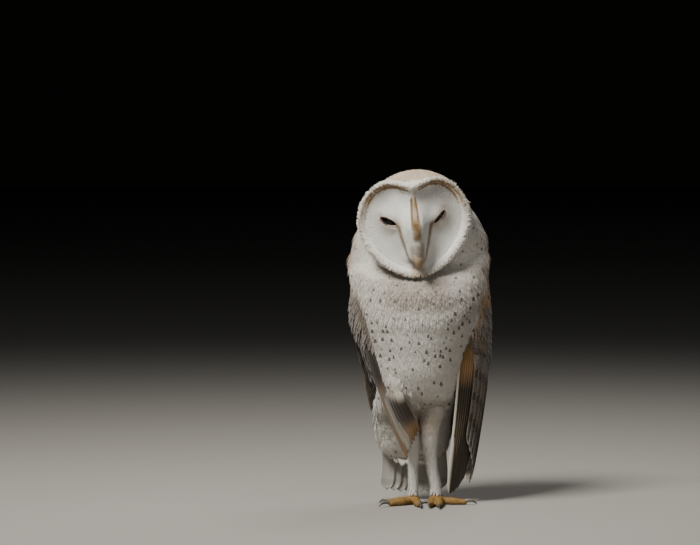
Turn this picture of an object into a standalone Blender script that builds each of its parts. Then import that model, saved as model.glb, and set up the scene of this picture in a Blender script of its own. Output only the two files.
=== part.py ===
"""A barn owl standing upright, life size, as a still model in named solids.

Sizes are millimetres on the body's own axes and are written to Blender in metres: X to the
owl's left, -Y the way it faces, +Z up from the ground. The standing height drives all of them.
The trunk and neck are one loft, the head is a fan of rings about the face, and the two are
joined and then parted with thin cuts. Wings, legs and tail are fitted to that body.
"""

import math

import bmesh
import bpy
import numpy as np
from mathutils import Matrix, Vector

STANDING_HEIGHT = 323.0
MODELLED_HEIGHT = 323.0
MM = 0.001 * STANDING_HEIGHT / MODELLED_HEIGHT
# Where the middle of the whole bird's plan lies on the body's own axes.
BODY_AXIS = (3.49, 1.28)
GAP = 0.3

# Trunk and neck: height, right side, left side, breast and back.
BODY = [
    (46, -24, 20, 22, 31),
    (56, -36, 31, 15, 34),
    (70, -41, 35, 9, 36),
    (84, -42, 36, 1, 38),
    (98, -42, 38, -15, 40),
    (112, -41, 43, -29, 43),
    (130, -43, 47, -37, 46),
    (150, -47, 52, -41, 48),
    (170, -53, 57, -44, 50),
    (190, -58, 62, -45, 51),
    (205, -61, 66, -42, 51),
    (220, -63, 68, -34, 50),
    (235, -65, 69, -20, 48),
    (250, -63, 69, -18, 45),
    (262, -59, 67, -18, 42),
    (274, -51, 61, -19, 38),
    (285, -44, 55, -18, 32),
    (294, -32, 49, -12, 26),
    (300, -14, 34, -2, 18),
]
BODY_SIDES = 24
BODY_RINGS = 18
NECK_BASE = 232.0

# The face is drawn about its middle, x to the owl's left and z up, and then turned with the head.
FACE_MIDDLE = Vector((-2.4, -40, 267))
HEAD_PITCH = math.radians(7)
HEAD_ROLL = math.radians(-5)
HEAD_YAW = math.radians(4)
FACE_RADII = [
    (-90, 46), (-60, 44.5), (-30, 46), (0, 52.5), (20, 55), (50, 55.5), (63, 52.5), (77, 45), (90, 40.5),
]
FACE_RINGS = (0.13, 0.29, 0.45, 0.6, 0.75, 0.89, 1.0)
HEAD_SIDES = 32
SIDE_SWEEP = 14.0
TOP_SWEEP = 3.0
BOWL_DEPTH = 5.5
RIM_LIP = 2.5
# The ridge down the face: height on the face, how far it stands out, and its half width.
RIDGE = [
    (-46, 0, 8), (-38, 3, 7), (-31, 9, 7), (-25, 19, 8), (-18, 19, 8.5),
    (-5, 15.5, 10), (10, 11.5, 12), (25, 7, 13), (38, 4, 13),
]
# Behind the rim: distance back, half width, top, bottom, how round the heart has become, and how
# far the middle is carried to the owl's left.
HEAD_BACK = [
    (5, 54.5, 48, -45, 0.3, 0),
    (14, 53.5, 50.5, -43, 0.75, 1.5),
    (27, 52, 52.5, -41, 1.0, 3.5),
    (42, 48, 50.5, -38, 1.0, 5),
    (56, 38, 40, -28, 1.0, 6),
    (66, 24, 27, -13, 1.0, 6),
    (71, 8, 13, 0, 1.0, 6),
]
HEAD_CUT_FRONT = (-34, 219)
HEAD_CUT_BACK = (44, 272)

EYE_OUT, EYE_UP, EYE_RADIUS = 24.5, 8.5, 9.0
LID_BULGE, LID_SPREAD, LID_THICKNESS = 4.0, 8.5, 2.0
EYE_SLIT_LENGTH = 16.5
EYE_SLITS = {"right": (5.4, -27.0), "left": (4.6, 42.0)}

# Each bill half: forward, down and radius along its middle line.
UPPER_BILL = [
    (0, -12, 4), (4, -17, 4.6), (8, -23, 4.9), (9.8, -28, 4.4), (8.7, -34, 2.5), (7, -38, 0.7),
]
LOWER_BILL = [(-5, -25, 3.6), (-0.5, -30.5, 3.2), (2.5, -35, 1.6)]

# Folded arm of each wing: height, outer side, front and back.
WINGS = {
    "left": [
        (256, 59, 8, 30),
        (250, 67, -4, 38),
        (235, 70.5, -12, 43),
        (218, 71.5, -17, 49),
        (194, 73, -20, 54),
        (170, 73, -20, 53),
        (150, 72.5, -14, 50),
        (136, 70, -3, 45),
        (127, 65, 10, 38),
    ],
    "right": [
        (252, 56, 8, 30),
        (246, 63, -2, 38),
        (233, 66.5, -8, 43),
        (208, 66, -15, 52),
        (190, 66.5, -19, 54),
        (175, 64, -21, 53),
        (160, 58, -21, 50),
        (145, 53, -17, 48),
        (130, 49, -6, 45),
        (120, 45, 10, 38),
    ],
}
WING_INNER_SIDE = 8.0
WING_SIDES, WING_RINGS = 20, 8

# Quill fans: how many feathers show, then root, tip and facing of lines from one edge to the other.
FANS = {
    "primaries_left": (6, [
        ((44, -19, 170), (31, 7, 9), (0.5, -0.87)),
        ((54, -15, 168), (37, 14, 12), (0.72, -0.7)),
        ((62, -6, 166), (44, 22, 24), (0.9, -0.43)),
    ]),
    "secondaries_left": (8, [
        ((60, -14, 166), (49, 3, 60), (0.75, -0.66)),
        ((71, 4, 164), (54, 14, 36), (0.97, -0.2)),
        ((70, 30, 162), (51, 28, 17), (0.85, 0.5)),
        ((46, 50, 172), (40, 42, 50), (0.45, 0.9)),
        ((9, 55, 184), (12, 48, 88), (0.1, 1.0)),
    ]),
    "primaries_right": (5, [
        ((-55, -8, 172), (-10, -12, 46), (-0.75, -0.66)),
        ((-41, -20, 146), (-5, -18, 58), (-0.6, -0.8)),
        ((-25, -34, 124), (3, -21, 75), (-0.3, -0.95)),
    ]),
    "secondaries_right": (8, [
        ((-61, -4, 180), (-38, 6, 112), (-0.97, -0.25)),
        ((-60, 28, 178), (-38, 30, 94), (-0.85, 0.5)),
        ((-42, 48, 182), (-36, 44, 78), (-0.45, 0.9)),
        ((-7, 55, 188), (-12, 48, 90), (-0.1, 1.0)),
    ]),
    "tail": (7, [
        ((-22, 34, 116), (-32, 33, 11), (-0.35, 0.94)),
        ((-2, 41, 120), (-2, 42, 6), (0.0, 1.0)),
        ((18, 34, 116), (28, 33, 11), (0.35, 0.94)),
    ]),
}
FEATHER_COLUMNS = 3
VANE_STATIONS = 5
ROOT_THICKNESS, TIP_THICKNESS = 1.8, 0.8
VANE_BOW = 3.0
SHINGLE_STEP = 1.6
TIP_SCALLOP = 7.0

TUBE_RESOLUTION = 2

# Each leg: height, middle x, middle y, half width and half depth.
LEGS = {
    "right": [
        (112, -14, 4, 9, 11),
        (92, -11, 3, 11, 12),
        (78, -8, 2.5, 9.5, 10.5),
        (64, -5, 2, 7.8, 8),
        (50, -3.5, 2.5, 6, 6),
        (34, -3.5, 3.5, 5.2, 5.2),
        (20, -3.4, 4, 5.2, 5.2),
        (14.3, -3.4, 4, 5.6, 5.6),
    ],
    "left": [
        (112, 18, 4, 11, 11),
        (92, 15, 3, 12.5, 12),
        (78, 13, 2.5, 10.8, 10.5),
        (64, 12.5, 2, 8.6, 8),
        (50, 13, 2.5, 7, 6.4),
        (34, 15, 3.5, 6, 5.6),
        (20, 18, 4, 5.8, 5.6),
        (14.3, 19, 4, 6, 5.8),
    ],
}
LEG_SIDES, LEG_RINGS = 10, 9

# Toes: bearing from straight ahead and sideways place of the root, both positive to the owl's
# left, then length and claw length.
TOES = {
    "right": {
        "inner": (7, 2, 27, 13),
        "middle": (-54, 0, 30, 14),
        "outer": (-98, 0, 25, 11),
        "hind": (168, 0, 16, 12),
    },
    "left": {
        "inner": (-7, -3.5, 27, 13),
        "middle": (-2, 3, 31, 14),
        "outer": (84, 0, 30, 12),
        "hind": (-174, 0, 16, 12),
    },
}
ANKLE = {"right": (-3.4, 4), "left": (19, 4)}
ANKLE_TOP, ANKLE_RADIUS = 14.0, 5.4
TOE_ROOT_HEIGHT, TOE_MIDDLE_HEIGHT, TOE_END_HEIGHT = 5.6, 3.4, 2.7
TOE_RADIUS, TOE_END_RADIUS = 4.2, 3.6
PAD_SWELL, PADS = 0.5, 2
CLAW_RADIUS, CLAW_TIP_RADIUS, CLAW_TIP_HEIGHT = 2.1, 0.45, 0.9
CLAW_ROOT, CLAW_RAISE, CLAW_ARCH, CLAW_CURL = 3.0, 0.6, 1.6, 60.0

COLOURS = {
    "plumage_white": ((0.80, 0.79, 0.76), 0.85),
    "plumage_grey": ((0.36, 0.31, 0.27), 0.85),
    "plumage_gold": ((0.52, 0.34, 0.16), 0.8),
    "horn": ((0.66, 0.54, 0.45), 0.45),
    "claw": ((0.10, 0.085, 0.08), 0.4),
    "toe_skin": ((0.48, 0.33, 0.12), 0.6),
    "eye": ((0.02, 0.012, 0.01), 0.1),
}


def clear_scene():
    """Start from an empty scene."""
    for obj in list(bpy.data.objects):
        bpy.data.objects.remove(obj, do_unlink=True)


def new_collection(name, hidden=False):
    made = bpy.data.collections.new(name)
    bpy.context.scene.collection.children.link(made)
    made.hide_render = hidden
    return made


def make_materials():
    made = {}
    for name, (colour, roughness) in COLOURS.items():
        material = bpy.data.materials.new(name)
        material.use_nodes = True
        shader = material.node_tree.nodes["Principled BSDF"]
        shader.inputs["Base Color"].default_value = (*colour, 1)
        shader.inputs["Roughness"].default_value = roughness
        made[name] = material
    return made


def smooth(keys, at):
    """Key rows (place, value, value, ...) read at each place along a smooth curve."""
    rows = np.array(sorted(keys), float)
    place, values = rows[:, 0], rows[:, 1:]
    slopes = np.gradient(values, place, axis=0)
    at = np.clip(np.atleast_1d(np.asarray(at, float)), place[0], place[-1])
    low = np.clip(np.searchsorted(place, at, side="right") - 1, 0, len(place) - 2)
    span = (place[low + 1] - place[low])[:, None]
    t = (at - place[low])[:, None] / span
    return (
        (2 * t**3 - 3 * t**2 + 1) * values[low]
        + (t**3 - 2 * t**2 + t) * span * slopes[low]
        + (3 * t**2 - 2 * t**3) * values[low + 1]
        + (t**3 - t**2) * span * slopes[low + 1]
    )


def mesh_object(name, bm, collection):
    """An object made of this bmesh, whose points are in millimetres, in triangles facing out."""
    bmesh.ops.triangulate(bm, faces=bm.faces[:])
    bmesh.ops.recalc_face_normals(bm, faces=bm.faces[:])
    if bm.calc_volume(signed=True) < 0:
        bmesh.ops.reverse_faces(bm, faces=bm.faces[:])
    mesh = bpy.data.meshes.new(name)
    bm.to_mesh(mesh)
    bm.free()
    obj = bpy.data.objects.new(name, mesh)
    collection.objects.link(obj)
    return obj


def loft(name, rings, collection):
    """A closed skin over rings of equally many points, with flat ends."""
    bm = bmesh.new()
    loops = [[bm.verts.new(point) for point in ring] for ring in rings]
    for near, far in zip(loops, loops[1:]):
        for i in range(len(near)):
            j = (i + 1) % len(near)
            bm.faces.new((near[i], near[j], far[j], far[i]))
    bm.faces.new(loops[0])
    bm.faces.new(loops[-1])
    return mesh_object(name, bm, collection)


def oval(z, right, left, front, back, sides, grow):
    """One level ring between four sides, widened by grow."""
    angle = np.linspace(0, 2 * math.pi, sides, endpoint=False)
    x = (right + left) / 2 + ((left - right) / 2 + grow) * np.cos(angle)
    y = (front + back) / 2 + ((back - front) / 2 + grow) * np.sin(angle)
    return np.stack([x, y, np.full(sides, z)], 1)


def body_form(collection, grow=0.0):
    """Trunk and neck in one."""
    levels = np.linspace(BODY[0][0], BODY[-1][0], BODY_RINGS)
    rings = [oval(z, *sides, BODY_SIDES, grow) for z, sides in zip(levels, smooth(BODY, levels))]
    rings[0][:, 2] -= grow
    rings[-1][:, 2] += grow
    return loft("body_form", rings, collection)


def head_matrix():
    nod = Matrix.Rotation(HEAD_ROLL, 4, "Y") @ Matrix.Rotation(HEAD_PITCH, 4, "X")
    return Matrix.Translation(FACE_MIDDLE) @ Matrix.Rotation(HEAD_YAW, 4, "Z") @ nod


def face_radius(angle):
    """Reach of the heart-shaped face at each angle, the same on both sides."""
    degrees = np.degrees(np.arcsin(np.sin(angle)))
    return smooth(FACE_RADII, degrees)[:, 0]


def face_relief(x, z, share):
    """How far the face stands forward at x, z, which lies at this share of the way to the rim."""
    reach = abs(FACE_RADII[3][1])
    height, width = smooth(RIDGE, z).T
    forward = -SIDE_SWEEP * (np.abs(x) / reach) ** 1.7 - TOP_SWEEP * (z / reach) ** 2
    forward -= BOWL_DEPTH * np.sin(math.pi * share**1.2)
    forward += RIM_LIP * np.exp(-(((share - 0.96) / 0.07) ** 2))
    forward += height * np.exp(-((x / width) ** 2))
    from_eye = np.hypot(np.abs(x) - EYE_OUT, z - EYE_UP)
    return forward + LID_BULGE * np.exp(-((from_eye / LID_SPREAD) ** 2))


def head_form(collection, grow=0.0):
    """The head: rings out from the middle of the face to its rim, then back to the nape."""
    angle = np.linspace(0, 2 * math.pi, HEAD_SIDES, endpoint=False)
    radius = face_radius(angle)
    rings = []
    for share in FACE_RINGS:
        x, z = share * radius * np.cos(angle), share * radius * np.sin(angle)
        forward = face_relief(x, z, np.full(HEAD_SIDES, share)) + grow
        widen = 1 + grow * share / radius
        rings.append(np.stack([x * widen, -forward, z * widen], 1))
    rim = rings[-1]
    for back, half_width, top, bottom, roundness, carry in HEAD_BACK:
        round_x = carry + (half_width + grow) * np.cos(angle)
        round_z = (top + bottom) / 2 + ((top - bottom) / 2 + grow) * np.sin(angle)
        x = rim[:, 0] * (1 - roundness) + round_x * roundness
        z = rim[:, 2] * (1 - roundness) + round_z * roundness
        y = rim[:, 1] * (1 - roundness) + back + grow * roundness
        rings.append(np.stack([x, y, z], 1))
    form = loft("head_form", rings, collection)
    form.data.transform(head_matrix())
    return form


def evaluated_mesh(obj):
    graph = bpy.context.evaluated_depsgraph_get()
    return bpy.data.meshes.new_from_object(obj.evaluated_get(graph))


def tube(name, points, radii, collection):
    """A tapered tube through these points, as a mesh with its end caps welded on."""
    curve = bpy.data.curves.new(name, "CURVE")
    curve.dimensions = "3D"
    curve.bevel_depth = 1.0
    curve.bevel_resolution = TUBE_RESOLUTION
    curve.use_fill_caps = True
    spline = curve.splines.new("POLY")
    spline.points.add(len(points) - 1)
    for spot, point, radius in zip(spline.points, points, radii):
        spot.co = (*point, 1)
        spot.radius = radius
    guide = bpy.data.objects.new(name, curve)
    collection.objects.link(guide)
    bm = bmesh.new()
    bm.from_mesh(evaluated_mesh(guide))
    bpy.data.objects.remove(guide)
    bmesh.ops.remove_doubles(bm, verts=bm.verts[:], dist=0.001)
    return mesh_object(name, bm, collection)


def combine(obj, others, operation):
    """Boolean each of the others into obj, and remove them."""
    for other in others:
        modifier = obj.modifiers.new(operation, "BOOLEAN")
        modifier.operation = operation
        modifier.solver = "EXACT"
        modifier.object = other
        bpy.context.view_layer.update()
        result = evaluated_mesh(obj)
        obj.modifiers.remove(modifier)
        obj.data = result
        bpy.data.objects.remove(other)
    return obj


def islands(bm):
    """The faces of each separate surface."""
    left = set(bm.faces)
    while left:
        todo = [left.pop()]
        island = list(todo)
        while todo:
            near = {face for edge in todo.pop().edges for face in edge.link_faces} & left
            left -= near
            todo.extend(near)
            island.extend(near)
        yield island


def volume_of(faces):
    """Volume inside triangles, less than nothing round a hollow."""
    return sum(a.co.dot(b.co.cross(c.co)) for a, b, c in (face.verts for face in faces)) / 6


def keep_largest(obj):
    """Drop the crumbs that a cut has left loose, and any hollow that it has closed in."""
    bm = bmesh.new()
    bm.from_mesh(obj.data)
    bmesh.ops.triangulate(bm, faces=bm.faces[:])
    bmesh.ops.recalc_face_normals(bm, faces=bm.faces[:])
    crumbs = [face for island in sorted(islands(bm), key=volume_of)[:-1] for face in island]
    bmesh.ops.delete(bm, geom=crumbs, context="FACES")
    bm.to_mesh(obj.data)
    bm.free()
    return obj


def keep_side(obj, point, normal):
    """Cut obj with a plane and keep what lies on the side that the normal points to."""
    bm = bmesh.new()
    bm.from_mesh(obj.data)
    geometry = bm.verts[:] + bm.edges[:] + bm.faces[:]
    cut = bmesh.ops.bisect_plane(
        bm, geom=geometry, plane_co=point, plane_no=normal, clear_inner=True, dist=0.001
    )
    edges = [item for item in cut["geom_cut"] if isinstance(item, bmesh.types.BMEdge)]
    bmesh.ops.contextual_create(bm, geom=[edge for edge in edges if edge.is_valid])
    bmesh.ops.triangulate(bm, faces=bm.faces[:])
    bm.to_mesh(obj.data)
    bm.free()
    return obj


def copy_of(obj, name, collection):
    made = bpy.data.objects.new(name, obj.data.copy())
    collection.objects.link(made)
    return made


def eye_middle(side):
    """The eyeball's middle in the face's own axes: just under the lids."""
    out = EYE_OUT if side == "left" else -EYE_OUT
    share = math.hypot(out, EYE_UP) / FACE_RADII[3][1]
    forward = face_relief(np.array([out]), np.array([EYE_UP]), np.array([share]))[0]
    return Vector((out, EYE_RADIUS + LID_THICKNESS - forward, EYE_UP))


def eyeball(side, collection, grow=0.0):
    bm = bmesh.new()
    place = head_matrix() @ Matrix.Translation(eye_middle(side))
    bmesh.ops.create_uvsphere(bm, u_segments=12, v_segments=8, radius=EYE_RADIUS + grow, matrix=place)
    return mesh_object(f"eye_{side}", bm, collection)


def eye_slit(side, collection):
    """The almond between the lids, drawn as two arcs and run back to the eyeball."""
    height, slant = EYE_SLITS[side]
    half_length, half_height = EYE_SLIT_LENGTH / 2, height / 2
    arc = np.linspace(-1, 1, 9)
    top = [(half_length * t, half_height * (1 - t * t)) for t in arc]
    bottom = [(half_length * t, -half_height * (1 - t * t)) for t in arc[-2:0:-1]]
    middle = eye_middle(side)
    rings = [[(x, y, z) for x, z in top + bottom] for y in (-EYE_RADIUS * 2, 0.0)]
    cutter = loft(f"slit_{side}", rings, collection)
    turn = Matrix.Rotation(-math.radians(slant), 4, "Y")
    cutter.data.transform(head_matrix() @ Matrix.Translation(middle) @ turn)
    return cutter


def bill_half(name, line, collection, grow=0.0):
    points = [head_matrix() @ Vector((0, -forward, down)) for forward, down, _ in line]
    return tube(name, points, [radius + grow for *_, radius in line], collection)


def build_head_and_trunk(parts, cutters):
    """Head, neck and trunk, parted from one whole, with the eyes and the bill let in."""
    whole = combine(body_form(cutters), [head_form(cutters)], "UNION")
    front, back = (Vector((0, *place)) for place in (HEAD_CUT_FRONT, HEAD_CUT_BACK))
    along = back - front
    up = Vector((0, -along.z, along.y)).normalized()
    step = up * GAP / 2
    head = keep_side(copy_of(whole, "head", parts), front + step, up)
    rest = keep_side(whole, front - step, -up)
    level, rise = Vector((0, 0, NECK_BASE)), Vector((0, 0, 1))
    neck = keep_side(copy_of(rest, "neck", parts), level + rise * GAP / 2, rise)
    trunk = keep_side(copy_of(rest, "trunk", parts), level - rise * GAP / 2, -rise)
    bpy.data.objects.remove(rest)
    bill_upper = bill_half("bill_upper", UPPER_BILL, parts)
    bill_lower = bill_half("bill_lower", LOWER_BILL, parts)
    combine(bill_lower, [bill_half("cut", UPPER_BILL, cutters, GAP)], "DIFFERENCE")
    let_in = [bill_half("cut", line, cutters, GAP) for line in (UPPER_BILL, LOWER_BILL)]
    for side in EYE_SLITS:
        eyeball(side, parts)
        let_in += [eyeball(side, cutters, GAP), eye_slit(side, cutters)]
    combine(head, let_in, "DIFFERENCE")
    for obj in (head, neck, trunk, bill_upper, bill_lower):
        keep_largest(obj)


def core(cutters):
    """Body and head a gap larger, to fit the limbs against."""
    return [body_form(cutters, GAP), head_form(cutters, GAP)]


def wing_form(side, collection, grow=0.0):
    """The folded arm of a wing: a flat lobe that the trunk is then cut out of."""
    sign = 1 if side == "left" else -1
    keys = WINGS[side]
    levels = np.linspace(keys[-1][0], keys[0][0], WING_RINGS)
    rings = []
    for z, (outer, front, back) in zip(levels, smooth(keys, levels)):
        ends = sorted((sign * outer, sign * WING_INNER_SIDE))
        rings.append(oval(z, *ends, front, back, WING_SIDES, grow))
    rings[0][:, 2] -= grow
    rings[-1][:, 2] += grow
    return loft(f"wing_{side}", rings, collection)


def sheet(name, front, back, collection):
    """A closed blade between two equal grids of points."""
    bm = bmesh.new()
    near, far = ([[bm.verts.new(point) for point in row] for row in grid] for grid in (front, back))
    for grid in (near, far):
        for row, after in zip(grid, grid[1:]):
            for i in range(len(row) - 1):
                bm.faces.new((row[i], row[i + 1], after[i + 1], after[i]))
    rims = []
    for grid in (near, far):
        down, up = [row[-1] for row in grid], [row[0] for row in grid]
        rims.append(grid[0][:-1] + down[:-1] + grid[-1][:0:-1] + up[:0:-1])
    for i in range(len(rims[0])):
        j = (i + 1) % len(rims[0])
        bm.faces.new((rims[0][i], rims[0][j], rims[1][j], rims[1][i]))
    return mesh_object(name, bm, collection)


def fan_form(name, collection, grow=0.0):
    """A folded row of quill feathers in one blade, stepped like shingles and scalloped at the tips."""
    count, keys = FANS[name]
    rows = [(i, *root, *tip, *facing) for i, (root, tip, facing) in enumerate(keys)]
    lines = smooth(rows, np.linspace(0, len(keys) - 1, count * FEATHER_COLUMNS + 1))
    for edge, inside in ((0, 1), (-1, -2)):
        aside = lines[edge, :3] - lines[inside, :3]
        lines[edge, :6] += grow * np.tile(aside / np.linalg.norm(aside), 2)
    front, back = [], []
    for column, line in enumerate(lines):
        root, tip, out = Vector(line[:3]), Vector(line[3:6]), Vector((*line[6:8], 0))
        along = (tip - root).normalized()
        out = (out - along * out.dot(along)).normalized()
        share = column % FEATHER_COLUMNS / FEATHER_COLUMNS
        length = (tip - root).length + 2 * grow - TIP_SCALLOP * (2 * share - 1) ** 2
        outside, inside = [], []
        for t in np.linspace(0, 1, VANE_STATIONS):
            lift = VANE_BOW * 4 * t * (1 - t) + SHINGLE_STEP * share
            thick = ROOT_THICKNESS + (TIP_THICKNESS - ROOT_THICKNESS) * t
            middle = root + along * (t * length - grow)
            outside.append(middle + out * (lift + grow))
            inside.append(middle + out * (lift - thick - grow))
        front.append(outside)
        back.append(inside)
    return sheet(name, front, back, collection)


def leg_form(side, collection, grow=0.0):
    keys = LEGS[side]
    levels = np.linspace(keys[-1][0], keys[0][0], LEG_RINGS)
    rings = []
    for z, (x, y, half_width, half_depth) in zip(levels, smooth(keys, levels)):
        sides = (x - half_width, x + half_width, y - half_depth, y + half_depth)
        rings.append(oval(z, *sides, LEG_SIDES, grow))
    rings[0][:, 2] -= grow
    return loft(f"leg_{side}", rings, collection)


def toe_frame(side, toe):
    """Where a toe starts on the ground plan, its heading, and its two lengths."""
    bearing, aside, length, claw_length = TOES[side][toe]
    x, y = ANKLE[side]
    turn = math.radians(bearing)
    return Vector((x + aside, y, 0)), Vector((math.sin(turn), -math.cos(turn), 0)), length, claw_length


def toe_form(side, toe, collection):
    start, heading, length, _ = toe_frame(side, toe)
    share = np.linspace(0, 1, 5)
    heights = np.interp(share, (0, 0.35, 1), (TOE_ROOT_HEIGHT, TOE_MIDDLE_HEIGHT, TOE_END_HEIGHT))
    pads = PAD_SWELL * np.cos(share * PADS * 2 * math.pi)
    radii = np.interp(share, (0, 1), (TOE_RADIUS, TOE_END_RADIUS)) + pads
    radii[-1] *= 0.75
    points = [start + heading * length * s + Vector((0, 0, z)) for s, z in zip(share, heights)]
    return tube("toe", points, radii, collection)


def claw(side, toe, collection, grow=0.0):
    """A claw that leaves the toe forwards and curls down to a blunt tip just off the ground."""
    start, heading, length, claw_length = toe_frame(side, toe)
    share = np.linspace(0, 1, 5)
    turned = np.radians(CLAW_CURL) * share
    forward = length - CLAW_ROOT + claw_length * np.sin(turned) / math.sin(turned[-1])
    drop = (1 - np.cos(turned)) / (1 - math.cos(turned[-1]))
    top = TOE_END_HEIGHT + CLAW_RAISE
    heights = top - (top - CLAW_TIP_HEIGHT) * drop + CLAW_ARCH * np.sin(math.pi * share)
    radii = np.interp(share, (0, 0.5, 1), (CLAW_RADIUS, CLAW_RADIUS * 0.7, CLAW_TIP_RADIUS)) + grow
    points = [start + heading * f + Vector((0, 0, z)) for f, z in zip(forward, heights)]
    return tube(f"claw_{side}_{toe}", points, radii, collection)


def build_foot(side, parts, cutters):
    """Four toes about an ankle, cut level underneath, with the claws let into their ends."""
    x, y = ANKLE[side]
    ankle = [Vector((x, y, z)) for z in (5.0, 9.0, ANKLE_TOP)]
    foot = tube(f"foot_{side}", ankle, [ANKLE_RADIUS] * 3, parts)
    combine(foot, [toe_form(side, toe, cutters) for toe in TOES[side]], "UNION")
    keep_side(foot, Vector((0, 0, 0)), Vector((0, 0, 1)))
    for toe in TOES[side]:
        claw(side, toe, parts)
    combine(foot, [claw(side, toe, cutters, GAP) for toe in TOES[side]], "DIFFERENCE")
    keep_largest(foot)


def fit(obj, cutters):
    """Cut an object clear of its neighbours and keep its main piece."""
    return keep_largest(combine(obj, cutters, "DIFFERENCE"))


def build_limbs(parts, cutters):
    """Wings, quills, tail and legs, each cut clear of what it lies against."""
    for side in LEGS:
        fit(leg_form(side, parts), core(cutters))
        build_foot(side, parts, cutters)
        fit(wing_form(side, parts), core(cutters))
        near = core(cutters) + [wing_form(side, cutters, GAP)]
        fit(fan_form(f"secondaries_{side}", parts), near)
        near = core(cutters) + [wing_form(side, cutters, GAP), leg_form(side, cutters, GAP)]
        near.append(fan_form(f"secondaries_{side}", cutters, GAP))
        fit(fan_form(f"primaries_{side}", parts), near)
    near = core(cutters) + [wing_form(side, cutters, GAP) for side in WINGS]
    near += [fan_form(f"secondaries_{side}", cutters, GAP) for side in WINGS]
    fit(fan_form("tail", parts), near)


def finish_object(obj, material):
    """Move an object from millimetres on the body's axes to metres on the part's."""
    shift = Matrix.Translation((-BODY_AXIS[0], -BODY_AXIS[1], 0))
    obj.data.transform(Matrix.Scale(MM, 4) @ shift)
    obj.data.materials.clear()
    obj.data.materials.append(material)
    obj.data.shade_smooth()


def material_of(name):
    kind = name.split("_")[0]
    return {
        "eye": "eye",
        "bill": "horn",
        "claw": "claw",
        "foot": "toe_skin",
        "wing": "plumage_grey",
        "primaries": "plumage_gold",
        "secondaries": "plumage_gold",
    }.get(kind, "plumage_white")


def main():
    clear_scene()
    parts = new_collection("barn_owl")
    cutters = new_collection("cutters", hidden=True)
    materials = make_materials()
    build_head_and_trunk(parts, cutters)
    build_limbs(parts, cutters)
    for obj in parts.objects:
        finish_object(obj, materials[material_of(obj.name)])


main()
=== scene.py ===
"""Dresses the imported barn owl: one skin, its feathers and quills, bill, talons and wet eyes.

Sizes in the constants and fields are millimetres on the body's own axes: X to the owl's left,
-Y the way it faces and +Z up. `placed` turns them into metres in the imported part's frame.
"""

import logging
import math
from collections.abc import Callable, Sequence
from dataclasses import dataclass, field
from enum import Enum

import bmesh
import bpy
import numpy as np
from bpy.types import Material, Mesh, NodeSocket, Object
from mathutils import Matrix, Vector
from mathutils.bvhtree import BVHTree
from numpy.random import Generator


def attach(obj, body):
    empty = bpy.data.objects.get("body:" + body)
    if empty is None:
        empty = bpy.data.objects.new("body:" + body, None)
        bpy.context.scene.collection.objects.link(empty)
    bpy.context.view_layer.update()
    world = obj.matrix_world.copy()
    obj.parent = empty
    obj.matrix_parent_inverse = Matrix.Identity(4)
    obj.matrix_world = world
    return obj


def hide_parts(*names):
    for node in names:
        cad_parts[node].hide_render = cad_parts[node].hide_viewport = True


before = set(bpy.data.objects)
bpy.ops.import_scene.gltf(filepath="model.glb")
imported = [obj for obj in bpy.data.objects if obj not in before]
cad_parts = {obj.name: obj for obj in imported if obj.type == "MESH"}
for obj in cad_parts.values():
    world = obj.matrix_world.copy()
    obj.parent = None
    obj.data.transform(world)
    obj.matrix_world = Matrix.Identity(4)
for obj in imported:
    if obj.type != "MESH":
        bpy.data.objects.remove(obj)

LOG = logging.getLogger("barn_owl")
MM = 0.001
# Where the part's frame stands on the body's axes.
BODY_AXIS = np.array((3.49, 1.28, 0.0))
# Side of one tuft's patch on the bake map.
BAKE_PATCH = 0.003
# Start of every random draw.
SEED = 11
# How deep a feather's root lies under the skin, as a share of its lift.
ROOT_DEPTH = 0.12
# The lowest level of the toes' skin.
SOLE = 0.25
# The share of the way to the face's rim where the disc ends and its border begins.
DISC_END, BORDER_START = 0.79, 0.77

# Trunk and neck: height, right side, left side, breast and back.
BODY = [
    (46, -24, 20, 22, 31), (56, -36, 31, 15, 34), (70, -41, 35, 9, 36), (84, -42, 36, 1, 38), (98, -42, 38, -15, 40),
    (112, -41, 43, -29, 43), (130, -43, 47, -37, 46), (150, -47, 52, -41, 48), (170, -53, 57, -44, 50),
    (190, -58, 62, -45, 51), (205, -61, 66, -40, 51), (220, -63, 68, -30, 50), (235, -65, 69, -20, 48),
    (250, -63, 69, -18, 45), (262, -59, 67, -18, 42), (274, -51, 61, -19, 38), (285, -44, 55, -18, 32),
    (294, -32, 49, -12, 26), (300, -14, 34, -2, 18),
]

# The face, about its middle: x to the owl's left and z up, then turned with the head.
FACE_MIDDLE = Vector((-2.4, -40, 267))
HEAD_TURN = (
    Matrix.Rotation(math.radians(4), 4, "Z")
    @ Matrix.Rotation(math.radians(-5), 4, "Y")
    @ Matrix.Rotation(math.radians(7), 4, "X")
)
HEAD_AXES = np.array(HEAD_TURN.to_3x3())
# Reach of the face at each angle above the level, in degrees.
FACE_RADII = [
    (-90, 46), (-60, 44.5), (-30, 46), (0, 52.5), (20, 55), (50, 55.5), (63, 52.5), (77, 45), (90, 40.5),
]
FACE_REACH = 52.5
# The ridge down the middle of the face: z, height and half width.
RIDGE = [
    (-46, 0, 8), (-38, 3, 7), (-31, 9, 7), (-25, 19, 8), (-18, 19, 8.5),
    (-5, 15.5, 10), (10, 11.5, 12), (25, 7, 13), (38, 4, 13),
]
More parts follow.
